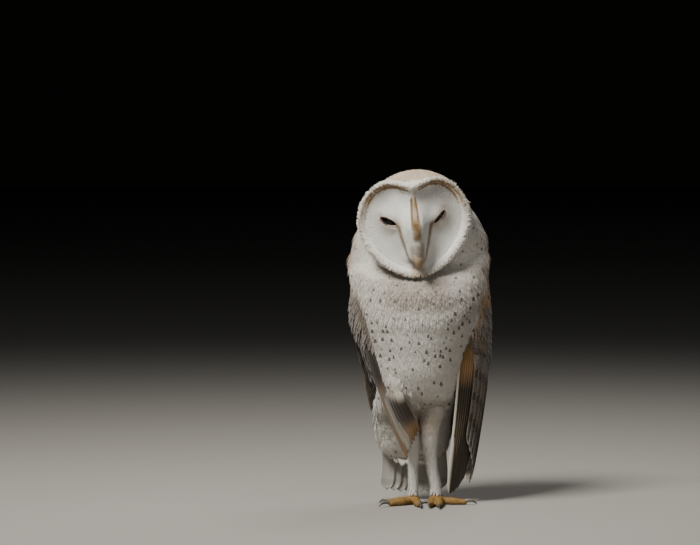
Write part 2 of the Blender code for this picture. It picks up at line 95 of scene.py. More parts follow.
# Behind the rim: distance back, half width, top, bottom, how round the heart has become, and how
# far the middle is carried to the owl's left.
HEAD_BACK = [
    (5, 54.5, 48, -45, 0.3, 0), (14, 53.5, 50.5, -43, 0.75, 1.5), (27, 52, 52.5, -41, 1.0, 3.5),
    (42, 48, 50.5, -38, 1.0, 5), (56, 38, 40, -28, 1.0, 6), (66, 24, 27, -13, 1.0, 6), (71, 8, 13, 0, 1.0, 6),
]
EYE_OUT, EYE_UP, EYE_RADIUS = 24.5, 8.5, 9.0
LID_BULGE, LID_SPREAD, LID_THICKNESS = 4.0, 8.5, 2.0
EYE_SLIT_LENGTH = 16.5
# How far each slit's outer end is turned up, in degrees, and half its height.
EYE_SLANT = {"right": -27.0, "left": 42.0}
EYE_SLIT_HALF = {"right": 2.8, "left": 1.9}

# Folded arm of each wing: height, outer side, front and back.
WINGS = {
    "left": [
        (256, 59, 8, 30), (250, 67, -4, 38), (235, 70.5, -12, 43), (218, 71.5, -17, 49), (194, 73, -20, 54),
        (170, 73, -20, 53), (150, 72.5, -14, 50), (136, 70, -3, 45), (127, 65, 10, 38),
    ],
    "right": [
        (252, 56, 8, 30), (246, 63, -2, 38), (233, 66.5, -8, 43), (208, 66, -15, 52), (190, 66.5, -19, 54),
        (175, 64, -21, 53), (160, 58, -21, 50), (145, 53, -17, 48), (130, 49, -6, 45), (120, 45, 10, 38),
    ],
}
WING_INNER_SIDE, COVERT_INNER_SIDE = 8.0, 14.0

# Each leg: height, middle x, middle y, half width and half depth.
LEGS = {
    "right": [
        (112, -14, 4, 9, 11), (92, -11, 3, 11, 12), (78, -8, 2.5, 9.5, 10.5), (64, -5, 2, 7.8, 8),
        (50, -3.5, 2.5, 6, 6), (34, -3.5, 3.5, 5.2, 5.2), (20, -3.4, 4, 5.2, 5.2), (9, -3.4, 4, 5.6, 5.6),
    ],
    "left": [
        (112, 18, 4, 11, 11), (92, 15, 3, 12.5, 12), (78, 13, 2.5, 10.8, 10.5), (64, 12.5, 2, 8.6, 8),
        (50, 13, 2.5, 7, 6.4), (34, 15, 3.5, 6, 5.6), (20, 18, 4, 5.8, 5.6), (9, 19, 4, 6, 5.8),
    ],
}

# Toes: bearing from straight ahead and sideways place of the root, then length and claw length.
TOES = {
    "right": {
        "inner": (7, 2, 27, 13), "middle": (-54, 0, 30, 14), "outer": (-98, 0, 25, 11), "hind": (168, 0, 16, 12),
    },
    "left": {
        "inner": (-7, -3.5, 27, 13), "middle": (-2, 3, 31, 14), "outer": (84, 0, 30, 12), "hind": (-174, 0, 16, 12),
    },
}
ANKLE = {"right": (-3.4, 4.0), "left": (19.0, 4.0)}

Points = np.ndarray
# What a coat asks at its points, and the numbers that mark them.
Rule = Callable[[Points], Points]
Marks = dict[str, Points]


class Side(Enum):
    """Which side of the owl, with the sign of its X."""

    LEFT = 1
    RIGHT = -1

    @property
    def word(self) -> str:
        """The side as the nodes' names spell it."""
        return self.name.lower()


def placed(points: Points) -> Points:
    """Millimetres on the body's axes as metres in the part's frame."""
    return (np.asarray(points, float) - BODY_AXIS) * MM


def on_body(points: Points) -> Points:
    """Metres in the part's frame as millimetres on the body's axes."""
    return np.asarray(points, float) / MM + BODY_AXIS


def smooth(keys: Sequence[Sequence[float]], at: Points) -> Points:
    """Reads key rows along a smooth curve.

    Args:
        keys: Rows of a place followed by its values.
        at: The places to read.

    Returns:
        One row of values for each place.
    """
    rows = np.array(sorted(keys), float)
    place, values = rows[:, 0], rows[:, 1:]
    slopes = np.gradient(values, place, axis=0)
    at = np.clip(np.atleast_1d(np.asarray(at, float)), place[0], place[-1])
    low = np.clip(np.searchsorted(place, at, side="right") - 1, 0, len(place) - 2)
    span = (place[low + 1] - place[low])[:, None]
    t = (at - place[low])[:, None] / span
    return (
        (2 * t**3 - 3 * t**2 + 1) * values[low]
        + (t**3 - 2 * t**2 + t) * span * slopes[low]
        + (3 * t**2 - 2 * t**3) * values[low + 1]
        + (t**3 - t**2) * span * slopes[low + 1]
    )


def ease(value: Points, low: float, high: float) -> Points:
    """A soft step from 0 at low to 1 at high."""
    t = np.clip((np.asarray(value, float) - low) / (high - low), 0, 1)
    return t * t * (3 - 2 * t)


def between(value: Points, low: float, full: float, fading: float, gone: float) -> Points:
    """Rises softly from 0 at low to 1 at full, and falls again from fading to gone."""
    return ease(value, low, full) * (1 - ease(value, fading, gone))


def bell(value: Points, width: float) -> Points:
    """A soft bump that is 1 at zero and has nearly gone at twice its width."""
    return np.exp(-((value / width) ** 2))


def turns(columns: int) -> Points:
    """Angles at even steps once round."""
    return np.linspace(0, 2 * math.pi, columns, endpoint=False)


def unit(vectors: Points) -> Points:
    """Vectors at length one."""
    return vectors / np.maximum(np.linalg.norm(vectors, axis=-1, keepdims=True), 1e-9)


def along_surface(wanted: Points, normals: Points) -> Points:
    """Directions laid flat on a surface."""
    return unit(wanted - normals * np.sum(wanted * normals, axis=-1, keepdims=True))


def head_points(points: Points) -> Points:
    """Points on the face's own axes as points on the body's axes."""
    return np.asarray(points, float) @ HEAD_AXES.T + np.array(FACE_MIDDLE)


def face_points(points: Points) -> Points:
    """Points on the body's axes as points on the face's own axes."""
    return (np.asarray(points, float) - np.array(FACE_MIDDLE)) @ HEAD_AXES


# ---------------------------------------------------------------- shader and node building


class Term:
    """A socket's value, used in ordinary arithmetic."""

    def __init__(self, kit: "ShaderKit", socket: NodeSocket) -> None:
        self.kit = kit
        self.socket = socket

    def __add__(self, other: "Operand") -> "Term":
        """Sum."""
        return self.kit.math("ADD", self, other)

    __radd__ = __add__

    def __mul__(self, other: "Operand") -> "Term":
        """Product."""
        return self.kit.math("MULTIPLY", self, other)

    __rmul__ = __mul__

    def __sub__(self, other: "Operand") -> "Term":
        """Difference."""
        return self.kit.math("SUBTRACT", self, other)

    def __rsub__(self, other: "Operand") -> "Term":
        """Difference from a number."""
        return self.kit.math("SUBTRACT", other, self)

    def __truediv__(self, other: "Operand") -> "Term":
        """Quotient."""
        return self.kit.math("DIVIDE", self, other)

    def __pow__(self, other: "Operand") -> "Term":
        """Power."""
        return self.kit.math("POWER", self, other)

    def wave(self) -> "Term":
        """Sine."""
        return self.kit.math("SINE", self)

    def size(self) -> "Term":
        """Absolute value."""
        return self.kit.math("ABSOLUTE", self)

    def part(self) -> "Term":
        """Fraction after the whole number."""
        return self.kit.math("FRACT", self)

    def most(self, other: "Operand") -> "Term":
        """The larger of two."""
        return self.kit.math("MAXIMUM", self, other)

    def step(self, low: float, high: float) -> "Term":
        """A soft step from 0 at low to 1 at high.

        Args:
            low: Where it starts.
            high: Where it ends.

        Returns:
            The step.
        """
        inputs = {"Value": self, "From Min": low, "From Max": high}
        node = self.kit.node("ShaderNodeMapRange", {"interpolation_type": "SMOOTHSTEP"}, inputs)
        return Term(self.kit, node.outputs["Result"])


Operand = Term | float
Colour = tuple[float, float, float]


class NodeKit:
    """Adds nodes to one tree."""

    def __init__(self, tree: bpy.types.NodeTree) -> None:
        """Takes the tree to build in."""
        self.tree = tree

    def node(self, kind: str, settings: dict | None = None, inputs: dict | None = None) -> bpy.types.Node:
        """Adds a node.

        Args:
            kind: The node's type.
            settings: Its own settings, set before its sockets.
            inputs: Socket names or indices with their values or links.

        Returns:
            The node.
        """
        made = self.tree.nodes.new(kind)
        for key, value in (settings or {}).items():
            setattr(made, key, value)
        for key, value in (inputs or {}).items():
            self.feed(made.inputs[key], value)
        return made

    def feed(self, socket: NodeSocket, value: object) -> None:
        """Links or sets one input socket.

        Args:
            socket: The input.
            value: A term, an output socket or a plain value.
        """
        if isinstance(value, Term):
            self.tree.links.new(value.socket, socket)
        elif isinstance(value, NodeSocket):
            self.tree.links.new(value, socket)
        elif isinstance(value, tuple) and socket.type == "RGBA" and len(value) == 3:
            socket.default_value = (*value, 1.0)
        else:
            socket.default_value = value


class ShaderKit(NodeKit):
    """Builds one material's nodes."""

    def __init__(self, name: str) -> None:
        """Starts a material that holds a Principled shader.

        Args:
            name: The material's name.
        """
        self.material = bpy.data.materials.new(name)
        self.material.use_nodes = True
        super().__init__(self.material.node_tree)
        self.shader = self.tree.nodes["Principled BSDF"]

    def math(self, operation: str, *operands: Operand) -> Term:
        """One Math node on up to three values."""
        node = self.node("ShaderNodeMath", {"operation": operation}, dict(enumerate(operands)))
        return Term(self, node.outputs[0])

    def mix(self, first: object, second: object, factor: Operand) -> NodeSocket:
        """Colour between two by a factor."""
        node = self.node("ShaderNodeMix", {"data_type": "RGBA"}, {0: factor, 6: first, 7: second})
        return node.outputs[2]

    def shade(self, colour: object, amount: Operand) -> NodeSocket:
        """A colour made lighter or darker by a factor."""
        node = self.node("ShaderNodeVectorMath", {"operation": "SCALE"}, {0: colour, "Scale": amount})
        return node.outputs[0]

    def place(self) -> NodeSocket:
        """Position on the object, in metres."""
        return self.node("ShaderNodeTexCoord").outputs["Object"]

    def attribute(self, name: str) -> Term:
        """A number stored on the mesh."""
        return Term(self, self.node("ShaderNodeAttribute", {"attribute_name": name}).outputs["Fac"])

    def pair(self, name: str) -> tuple[Term, Term]:
        """Two numbers stored on the mesh as one vector.

        Args:
            name: The vector's name.

        Returns:
            The two numbers.
        """
        stored = self.node("ShaderNodeAttribute", {"attribute_name": name}).outputs["Vector"]
        parts = self.node("ShaderNodeSeparateXYZ", None, {0: stored})
        return Term(self, parts.outputs[0]), Term(self, parts.outputs[1])

    def noise(self, scale: float, detail: float = 2.0) -> Term:
        """Soft noise between 0 and 1 on the object's own coordinates."""
        inputs = {"Vector": self.place(), "Scale": scale, "Detail": detail}
        return Term(self, self.node("ShaderNodeTexNoise", None, inputs).outputs["Fac"])

    def bump(self, height: Term, strength: float, distance: float) -> None:
        """Feeds the shader's normal from a height."""
        inputs = {"Height": height, "Strength": strength, "Distance": distance}
        self.feed(self.shader.inputs["Normal"], self.node("ShaderNodeBump", None, inputs).outputs[0])

    def finish(self, colour: object, roughness: Operand, **constants: object) -> Material:
        """Sets the shader's colour, roughness and constant values, and gives the material.

        Args:
            colour: A colour or its link.
            roughness: A number or its term.
            constants: Other inputs, named with _ for each space.

        Returns:
            The material.
        """
        self.feed(self.shader.inputs["Base Color"], colour)
        self.feed(self.shader.inputs["Roughness"], roughness)
        for key, value in constants.items():
            self.shader.inputs[key.replace("_", " ")].default_value = value
        return self.material


@dataclass(frozen=True)
class Plumage:
    """Colours of the soft feathers and of the skin under them, mixed by numbers on the mesh."""

    white: Colour = (0.86, 0.84, 0.78)
    grey: Colour = (0.30, 0.265, 0.235)
    gold: Colour = (0.42, 0.235, 0.07)
    dark: Colour = (0.045, 0.026, 0.016)
    spot: Colour = (0.05, 0.04, 0.037)
    spot_gap: float = 8.8
    spot_size: float = 2.3

    def spots(self, kit: ShaderKit) -> Term:
        """Dark arrow-shaped flecks about one gap apart, widest at their lower ends.

        Args:
            kit: The material being built.

        Returns:
            1 on a fleck and 0 beside it.
        """
        where = kit.place()
        scale = 1 / (self.spot_gap * MM)
        cells = kit.node("ShaderNodeTexVoronoi", None, {"Vector": where, "Scale": scale, "Randomness": 0.85})
        middle = cells.outputs["Position"]
        away = kit.node("ShaderNodeVectorMath", {"operation": "SUBTRACT"}, {0: where, 1: middle})
        parts = kit.node("ShaderNodeSeparateXYZ", None, {0: away.outputs[0]})
        x, y, z = (Term(kit, parts.outputs[i]) / MM for i in range(3))
        aside = (x * x + y * y * 0.16) ** 0.5
        size = self.spot_size * (0.18 + 0.64 * kit.attribute("dots") + 0.8 * (kit.noise(90, 1.0) - 0.5))
        width = size * (0.82 - z / (self.spot_size * 3.6))
        inside = (width - aside).step(-0.3, 0.35)
        return inside * (size * 1.08 - z.size()).step(-0.35, 0.35)

    def colour(self, kit: ShaderKit) -> NodeSocket:
        """The plumage's colour from the mesh's grey, gold, dark and dots.

        Args:
            kit: The material being built.

        Returns:
            The colour's socket.
        """
        fine = kit.noise(900, 3.0)
        broad = kit.noise(120, 2.0)
        grey = kit.attribute("grey")
        mottle = grey * (0.62 + 0.75 * (fine - 0.5) * 2 + 0.35 * (broad - 0.5))
        colour = kit.mix(self.white, self.grey, mottle)
        gold = kit.attribute("gold") * (0.88 + 0.9 * (broad - 0.5) + 0.5 * (fine - 0.5))
        colour = kit.mix(colour, self.gold, gold)
        fleck = self.spots(kit) * kit.attribute("dots").step(0.06, 0.22)
        colour = kit.mix(colour, self.spot, fleck * (0.62 + 0.24 * kit.attribute("dots")))
        return kit.mix(colour, self.dark, kit.attribute("dark"))


@dataclass(frozen=True)
class FeatherFinish:
    """Soft, dull feather with fine barbs."""

    name: str
    plumage: Plumage = field(default_factory=Plumage)
    barbs: float = 14.0
    roughness: float = 0.82
    contrast: float = 0.06
    # How much darker each feather is at its root than at its tip: painted shade where it tucks under the feather
    # above.
    depth: float = 0.06

    def build(self) -> Material:
        """Makes the material.

        Returns:
            The material.
        """
        kit = ShaderKit(self.name)
        across, along = kit.pair("vane")
        hue = kit.attribute("hue")
        barb = (across * (self.barbs * 2 * math.pi) + along * 5.0).wave()
        # Lighter towards each tip by depth: painted shade at the roots, under the feathers above; the hue term is
        # random tone.
        light = (0.98 - self.depth) + self.contrast * (hue - 0.5) + self.depth * 1.4 * along + 0.02 * barb
        colour = kit.shade(self.plumage.colour(kit), light)
        kit.bump(barb * 0.5 + kit.noise(1500, 2.0), 0.35, 0.0003)
        rough = self.roughness + 0.1 * (kit.noise(400, 1.0) - 0.5)
        return kit.finish(colour, rough, Sheen_Weight=0.1, Sheen_Roughness=0.5, Specular_IOR_Level=0.2)


@dataclass(frozen=True)
class CovertFinish:
    """Wing and mantle feathers: gold at the base, grey and finely peppered, with a pale pearl."""

    name: str
    gold: Colour = (0.44, 0.24, 0.085)
    ash: Colour = (0.20, 0.17, 0.145)
    soot: Colour = (0.045, 0.034, 0.026)
    pearl: Colour = (0.74, 0.70, 0.64)
    buff: Colour = (0.72, 0.66, 0.56)

    def build(self) -> Material:
        """Makes the material.

        Returns:
            The material.
        """
        kit = ShaderKit(self.name)
        across, along = kit.pair("vane")
        hue, gilt = kit.attribute("hue"), kit.attribute("gold")
        aside = (across - 0.5).size() * 2
        pepper = kit.noise(1300, 4.0)
        colour = kit.mix(self.soot, self.ash, (pepper + 0.12 * hue).step(0.36, 0.62))
        warm = (gilt + 0.35 - along * 0.75 + 0.3 * (kit.noise(260, 2.0) - 0.5)).step(0.1, 0.5)
        colour = kit.mix(colour, self.gold, warm * (0.6 + 0.4 * hue))
        shaft = (1 - aside.step(0.0, 0.16)) * along.step(0.35, 0.6) * 0.75
        colour = kit.mix(colour, self.soot, shaft)
        reach = ((across - 0.5) * 2.2) ** 2 + ((along - 0.87) * 4.2) ** 2
        colour = kit.mix(colour, self.soot, (1 - reach.step(0.08, 0.20)) * 0.6)
        colour = kit.mix(colour, self.pearl, (1 - reach.step(0.01, 0.035)) * (0.25 + 0.35 * hue))
        fringe = aside.step(0.55, 0.85) * kit.attribute("fringe")
        colour = kit.mix(colour, self.pearl, fringe * (0.35 + 0.3 * hue))
        buff = kit.mix(self.buff, self.ash, pepper.step(0.45, 0.75) * 0.5)
        colour = kit.mix(colour, buff, kit.attribute("buff"))
        barb = ((along * 3.0 - aside) * 40.0).wave()
        colour = kit.shade(colour, 0.86 + 0.2 * hue + 0.04 * barb)
        kit.bump(barb * 0.4 + pepper, 0.4, 0.0003)
        return kit.finish(colour, 0.75 + 0.1 * pepper, Sheen_Weight=0.15, Specular_IOR_Level=0.3)


@dataclass(frozen=True)
class QuillFinish:
    """Flight feathers: barred web, thin rim and a smooth shaft, toned by numbers on the mesh."""

    name: str
    web: Colour = (0.23, 0.145, 0.075)
    gold: Colour = (0.60, 0.29, 0.085)
    ash: Colour = (0.30, 0.27, 0.25)
    soot: Colour = (0.045, 0.032, 0.026)
    rim: Colour = (0.40, 0.31, 0.21)
    edge: Colour = (0.80, 0.75, 0.62)
    shaft: Colour = (0.36, 0.24, 0.13)
    bars: float = 5.0
    bar_share: float = 0.36
    bar_depth: float = 0.8

    def build(self) -> Material:
        """Makes the material.

        Returns:
            The material.
        """
        kit = ShaderKit(self.name)
        across, along = kit.pair("vane")
        hue = kit.attribute("hue")
        pepper = kit.noise(1250, 4.0)
        colour = kit.mix(self.web, self.gold, kit.attribute("gilt") * (0.7 + 0.5 * pepper))
        speckle = kit.mix(self.soot, self.ash, (pepper + 0.14 * (hue - 0.4)).step(0.40, 0.60))
        colour = kit.mix(colour, speckle, kit.attribute("ashy"))
        phase = (along * self.bars + 0.08 * hue + 0.05 * (kit.noise(300, 2.0) - 0.5) + 0.42).part()
        bar = phase.step(0.0, 0.07) * (1 - phase.step(self.bar_share, self.bar_share + 0.08))
        bar = bar * (1 - kit.attribute("gilt") * 0.75)
        sooty = kit.attribute("sooty")
        colour = kit.mix(colour, self.soot, (bar * self.bar_depth).most(sooty))
        side = (across + 0.04 * (pepper - 0.5)).step(0.90, 0.985)
        colour = kit.mix(colour, self.rim, side * (0.8 - 0.6 * sooty))
        colour = kit.mix(colour, self.edge, kit.attribute("pale"))
        spine = 1 - (across - 0.64).size().step(0.012, 0.035)
        colour = kit.mix(colour, self.shaft, spine * (0.7 - 0.6 * sooty))
        barb = ((along * 9.0 - (across - 0.64).size() * 2.2) * 55.0).wave()
        colour = kit.shade(colour, 0.86 + 0.24 * hue + 0.05 * barb)
        kit.bump(barb * 0.5 + spine * 1.5 + pepper * 0.4, 0.4, 0.0003)
        return kit.finish(colour, 0.62 + 0.15 * pepper, Sheen_Weight=0.1, Specular_IOR_Level=0.3)


@dataclass(frozen=True)
class SkinFinish:
    """The skin: the plumage's markings where it is feathered, rough ochre scales on the toes."""

    name: str
    plumage: Plumage = field(default_factory=Plumage)
    ochre: Colour = (0.36, 0.205, 0.05)
    umber: Colour = (0.085, 0.045, 0.015)

    def build(self) -> Material:
        """Makes the material.

        Returns:
            The material.
        """
        kit = ShaderKit(self.name)
        toe = kit.attribute("toe")
        scale = {"Vector": kit.place(), "Scale": 620.0, "Randomness": 0.8}
        cells = kit.node("ShaderNodeTexVoronoi", {"feature": "DISTANCE_TO_EDGE"}, scale)
        edge = Term(kit, cells.outputs["Distance"]).step(0.02, 0.22)
        warm = kit.noise(260, 3.0)
        horn = kit.mix(self.umber, self.ochre, edge * 0.6 + 0.75 * (warm - 0.25))
        soft = kit.shade(self.plumage.colour(kit), 0.82)
        kit.bump(edge * toe + kit.noise(1500, 2.0) * 0.4, 0.6, 0.0005)
        rough = 0.8 - 0.25 * toe
        return kit.finish(kit.mix(soft, horn, toe), rough, Specular_IOR_Level=0.3)


@dataclass(frozen=True)
class HornFinish:
    """Bill or talon keratin, running from a root colour to a tip colour along the mesh's `run`."""

    name: str
    root: Colour
    tip: Colour
    pit: Colour = (0.05, 0.028, 0.02)
    streak: float = 0.3
    roughness: float = 0.36

    def build(self) -> Material:
        """Makes the material.

        Returns:
            The material.
        """
        kit = ShaderKit(self.name)
        run = kit.attribute("run")
        grain = kit.noise(700, 4.0)
        stain = kit.noise(180, 2.0)
        colour = kit.mix(self.root, self.tip, (run + self.streak * (stain - 0.5)).step(0.15, 0.95))
        # The nostrils are painted nearly black: painted shade of their openings.
        colour = kit.mix(colour, self.pit, kit.attribute("pit") * 0.9)
        kit.bump(grain, 0.18, 0.0002)
        colour = kit.shade(colour, 0.88 + 0.22 * grain)
        return kit.finish(colour, self.roughness + 0.2 * grain, Specular_IOR_Level=0.45)


@dataclass(frozen=True)
class EyeFinish:
    """Wet, nearly black eye with a faint brown iris about a black pupil."""

    name: str
    pupil: Colour = (0.003, 0.002, 0.002)
    iris: Colour = (0.016, 0.008, 0.005)
    white: Colour = (0.09, 0.06, 0.045)

    def build(self) -> Material:
        """Makes the material.

        Returns:
            The material.
        """
        kit = ShaderKit(self.name)
        reach = kit.attribute("run")
        iris = kit.mix(self.pupil, self.iris, reach.step(0.42, 0.55))
        colour = kit.mix(iris, self.white, reach.step(0.86, 0.97))
        rough = 0.05 + 0.03 * kit.noise(200, 1.0)
        return kit.finish(colour, rough, Coat_Weight=0.25, Coat_Roughness=0.03, Specular_IOR_Level=0.3)


@dataclass(frozen=True)
class LidFinish:
    """Bare, dark rim of an eyelid."""

    name: str
    fold: Colour = (0.035, 0.02, 0.015)
    ridge: Colour = (0.16, 0.09, 0.06)

    def build(self) -> Material:
        """Makes the material.

        Returns:
            The material.
        """
        kit = ShaderKit(self.name)
        wrinkle = kit.noise(900, 3.0)
        colour = kit.mix(self.fold, self.ridge, wrinkle.step(0.35, 0.75))
        kit.bump(wrinkle, 0.4, 0.0002)
        return kit.finish(colour, 0.42 + 0.1 * wrinkle, Specular_IOR_Level=0.4)


# ---------------------------------------------------------------- surfaces and meshes


@dataclass
class Surface:
    """A tube-like grid of points on the body's axes: rows along it and columns round it."""

    grid: Points
    # Steps along and round it by which its lengths are measured.
    path_steps: int = 400
    path_lines: int = 24
    ring_steps: int = 241

    def at(self, row: Points, turn: Points) -> Points:
        """Reads the surface.

        Args:
            row: Share of the way along, 0 to 1.
            turn: Share of the way round, which wraps.

        Returns:
            The points.
        """
        rows, columns = self.grid.shape[:2]
        r = np.clip(np.asarray(row) * (rows - 1), 0, rows - 1.001)
        c = np.mod(np.asarray(turn), 1.0) * columns
        r0, c0 = r.astype(int), c.astype(int) % columns
        c1 = (c0 + 1) % columns
        fr, fc = (r - r0)[..., None], (c - np.floor(c))[..., None]
        upper = self.grid[r0, c0] * (1 - fc) + self.grid[r0, c1] * fc
        lower = self.grid[r0 + 1, c0] * (1 - fc) + self.grid[r0 + 1, c1] * fc
        return upper * (1 - fr) + lower * fr

    def roots(
        self, gap: Rule, column_gap: Rule, rng: Generator
    ) -> tuple[Points, Points]:
        """Places roots in staggered rows.

        Args:
            gap: Row spacing in millimetres at a share of the way along.
            column_gap: Spacing within a row at a share of the way along.
            rng: The source of the slight unevenness.

        Returns:
            The points, and each one's share round and share along.
        """
        steps = np.linspace(0, 1, self.path_steps)
        path = self.at(steps[:, None], np.linspace(0, 1, self.path_lines, endpoint=False)[None, :])
        run = np.linalg.norm(np.diff(path, axis=0), axis=2).mean(1)
        run = np.concatenate([[0], np.cumsum(run)])
        rows, here = [], 0.0
        while here < run[-1]:
            share = float(np.interp(here, run, steps))
            rows.append(share)
            here += float(gap(share))
        found, seats = [], []
        for index, share in enumerate(rows):
            round_steps = np.linspace(0, 1, self.ring_steps)
            ring = self.at(np.full(self.ring_steps, share), round_steps)
            length = np.concatenate([[0], np.cumsum(np.linalg.norm(np.diff(ring, axis=0), axis=1))])
            count = max(3, int(length[-1] / float(column_gap(share))))
            spots = (np.arange(count) + 0.5 * (index % 2) + rng.uniform(-0.22, 0.22, count)) / count
            turn = np.interp(np.mod(spots, 1.0) * length[-1], length, round_steps)
            slip = np.clip(share + rng.uniform(-0.25, 0.25, count) * float(gap(share)) / run[-1], 0, 1)
            found.append(self.at(slip, turn))
            seats.append(np.stack([np.mod(spots, 1.0), slip], 1))
        return np.concatenate(found), np.concatenate(seats)


def oval(z: float, sides: Sequence[float], columns: int, grow: float) -> Points:
    """One level ring.

    Args:
        z: Its height.
        sides: Right side, left side, front and back.
        columns: How many points.
        grow: How far it is widened.

    Returns:
        The ring's points, from the owl's left round by its back.
    """
    right, left, front, back = sides
    angle = turns(columns)
    x = (right + left) / 2 + ((left - right) / 2 + grow) * np.cos(angle)
    y = (front + back) / 2 + ((back - front) / 2 + grow) * np.sin(angle)
    return np.stack([x, y, np.full(columns, z)], 1)


def stacked(
    keys: Sequence[Sequence[float]], shape: tuple[int, int], grow: float, sides: Callable[..., Sequence[float]]
) -> Surface:
    """Level rings at even heights.

    Args:
        keys: Rows of a height followed by its values.
        shape: How many rings, and how many points in each.
        grow: How far every ring is widened.
        sides: Turns a row's values into right side, left side, front and back.

    Returns:
        The surface, from its lowest ring to its highest.
    """
    levels = np.linspace(min(keys)[0], max(keys)[0], shape[0])
    rows = zip(levels, smooth(keys, levels))
    return Surface(np.array([oval(z, sides(*row), shape[1], grow) for z, row in rows]))


def body_surface(grow: float) -> Surface:
    """Trunk and neck, with the crease under the throat.

    Args:
        grow: How far it is widened.

    Returns:
        The surface.
    """
    made = stacked(BODY, (110, 128), grow, lambda *sides: sides)
    x, y, z = np.moveaxis(made.grid, 2, 0)
    over = z - 194 - 0.0065 * (x - 3) ** 2
    crease = 0.6 * bell(over, 7) - 0.3 * bell(over - 14, 9)
    made.grid[..., 1] += crease * ease(-y, -4, 16)
    return made


def wing_surface(side: Side, grow: float) -> Surface:
    """The folded arm of one wing."""

    def sides(outer: float, front: float, back: float) -> tuple:
        """Right side, left side, front and back."""
        return *sorted((side.value * outer, side.value * WING_INNER_SIDE)), front, back

    return stacked(WINGS[side.word], (60, 96), grow, sides)


def leg_surface(side: Side, grow: float) -> Surface:
    """One feathered leg."""
    return stacked(LEGS[side.word], (50, 40), grow, lambda x, y, wide, deep: (x - wide, x + wide, y - deep, y + deep))


def face_radius(angle: Points) -> Points:
    """Reach of the heart-shaped face at each angle."""
    return smooth(FACE_RADII, np.degrees(np.arcsin(np.sin(angle))))[:, 0]


def face_share(x: Points, z: Points) -> Points:
    """Share of the way from the face's middle to its rim."""
    return np.hypot(x, z) / face_radius(np.arctan2(z, x))


def face_relief(x: Points, z: Points, share: Points) -> Points:
    """How far the face stands forward.

    Args:
        x: To the owl's left of the middle.
        z: Above the middle.
        share: Share of the way to the rim.

    Returns:
        The distance forward of the face's plane.
    """
    height, width = smooth(RIDGE, z).T
    forward = -14.0 * (np.abs(x) / FACE_REACH) ** 1.7 - 3.0 * (z / FACE_REACH) ** 2
    forward -= 5.5 * np.sin(math.pi * share**1.2)
    forward += 2.5 * bell(share - 0.96, 0.07)
    forward += height * bell(x, width)
    from_eye = np.hypot(np.abs(x) - EYE_OUT, z - EYE_UP)
    return forward + LID_BULGE * bell(from_eye, LID_SPREAD)


def face_surface(grow: float, rows: int = 60, columns: int = 192, start: float = 0.02) -> Surface:
    """The face, in rings from its middle to its rim.

    Args:
        grow: How far it stands out.
        rows: How many rings.
        columns: How many points in each.
        start: The first ring's share of the way out.

    Returns:
        The surface.
    """
    angle = turns(columns)
    radius = face_radius(angle)
    rings = []
    for share in np.linspace(start, 1, rows):
        x, z = share * radius * np.cos(angle), share * radius * np.sin(angle)
        forward = face_relief(x, z, np.full(columns, share)) + grow
        widen = 1 + grow * share / radius
        rings.append(np.stack([x * widen, -forward, z * widen], 1))
    return Surface(head_points(np.array(rings)))


def head_back_surface(grow: float, rows: int = 60, columns: int = 192) -> Surface:
    """The head behind its rim, in rings to the nape.

    Args:
        grow: How far it is widened.
        rows: How many rings.
        columns: How many points in each.

    Returns:
        The surface.
    """
    angle = turns(columns)
    rim = face_points(face_surface(grow, 3, columns).grid[-1])
    keys = [(0, 0, 54, 47, -45, 0, 0)] + [(i + 1, *row) for i, row in enumerate(HEAD_BACK)]
    rings = []
    for row in smooth(keys, np.linspace(0, len(HEAD_BACK), rows)):
        back, half_width, top, bottom, roundness, carry = row
        roundness = min(max(roundness, 0), 1)
        round_x = carry + (half_width + grow) * np.cos(angle)
        round_z = (top + bottom) / 2 + ((top - bottom) / 2 + grow) * np.sin(angle)
        x = rim[:, 0] * (1 - roundness) + round_x * roundness
        z = rim[:, 2] * (1 - roundness) + round_z * roundness
        y = rim[:, 1] * (1 - roundness) + back + grow * roundness
        rings.append(np.stack([x, y, z], 1))
    rings[0] = rim
    return Surface(head_points(np.array(rings)))


def grid_faces(rows: int, columns: int, closed: bool) -> list[tuple[int, ...]]:
    """Quads over a grid of points, optionally joined round.

    Args:
        rows: How many rows.
        columns: How many points in each.
        closed: Whether the last column meets the first.

    Returns:
        The quads, by their points.
    """
    faces = []
    for r in range(rows - 1):
        for c in range(columns if closed else columns - 1):
            d = (c + 1) % columns
            faces.append((r * columns + c, r * columns + d, (r + 1) * columns + d, (r + 1) * columns + c))
    return faces


def face_outwards(bm: bmesh.types.BMesh) -> None:
    """Turns every closed shell's faces outwards.

    Args:
        bm: The mesh being edited.
    """
    bmesh.ops.recalc_face_normals(bm, faces=bm.faces[:])
    seen: set[bmesh.types.BMFace] = set()
    for start in bm.faces:
        if start in seen:
            continue
        seen.add(start)
        shell = [start]
        for face in shell:
            fresh = {other for edge in face.edges for other in edge.link_faces} - seen
            seen |= fresh
            shell.extend(fresh)
        volume = 0.0
        for face in shell:
            first, *rest = [corner.co - start.verts[0].co for corner in face.verts]
            volume += sum(first.dot(one.cross(two)) for one, two in zip(rest, rest[1:]))
        if volume < 0:
            bmesh.ops.reverse_faces(bm, faces=shell)


def linked(name: str, data: bpy.types.ID) -> Object:
    """An object of this data, in the scene.

    Args:
        name: Its name.
        data: Its data.

    Returns:
        The object.
    """
    made = bpy.data.objects.new(name, data)
    bpy.context.scene.collection.objects.link(made)
    return made


def mesh_object(name: str, points: Points, faces: Sequence[Sequence[int]]) -> Object:
    """An object of these points, in metres, with its faces turned outwards.

    Args:
        name: Its name.
        points: Its points.
        faces: Its faces, by their points.

    Returns:
        The object.
    """
    mesh = bpy.data.meshes.new(name)
    mesh.from_pydata(np.asarray(points, float).reshape(-1, 3).tolist(), [], [list(f) for f in faces])
    bm = bmesh.new()
    bm.from_mesh(mesh)
    face_outwards(bm)
    bm.to_mesh(mesh)
    bm.free()
    return linked(name, mesh)


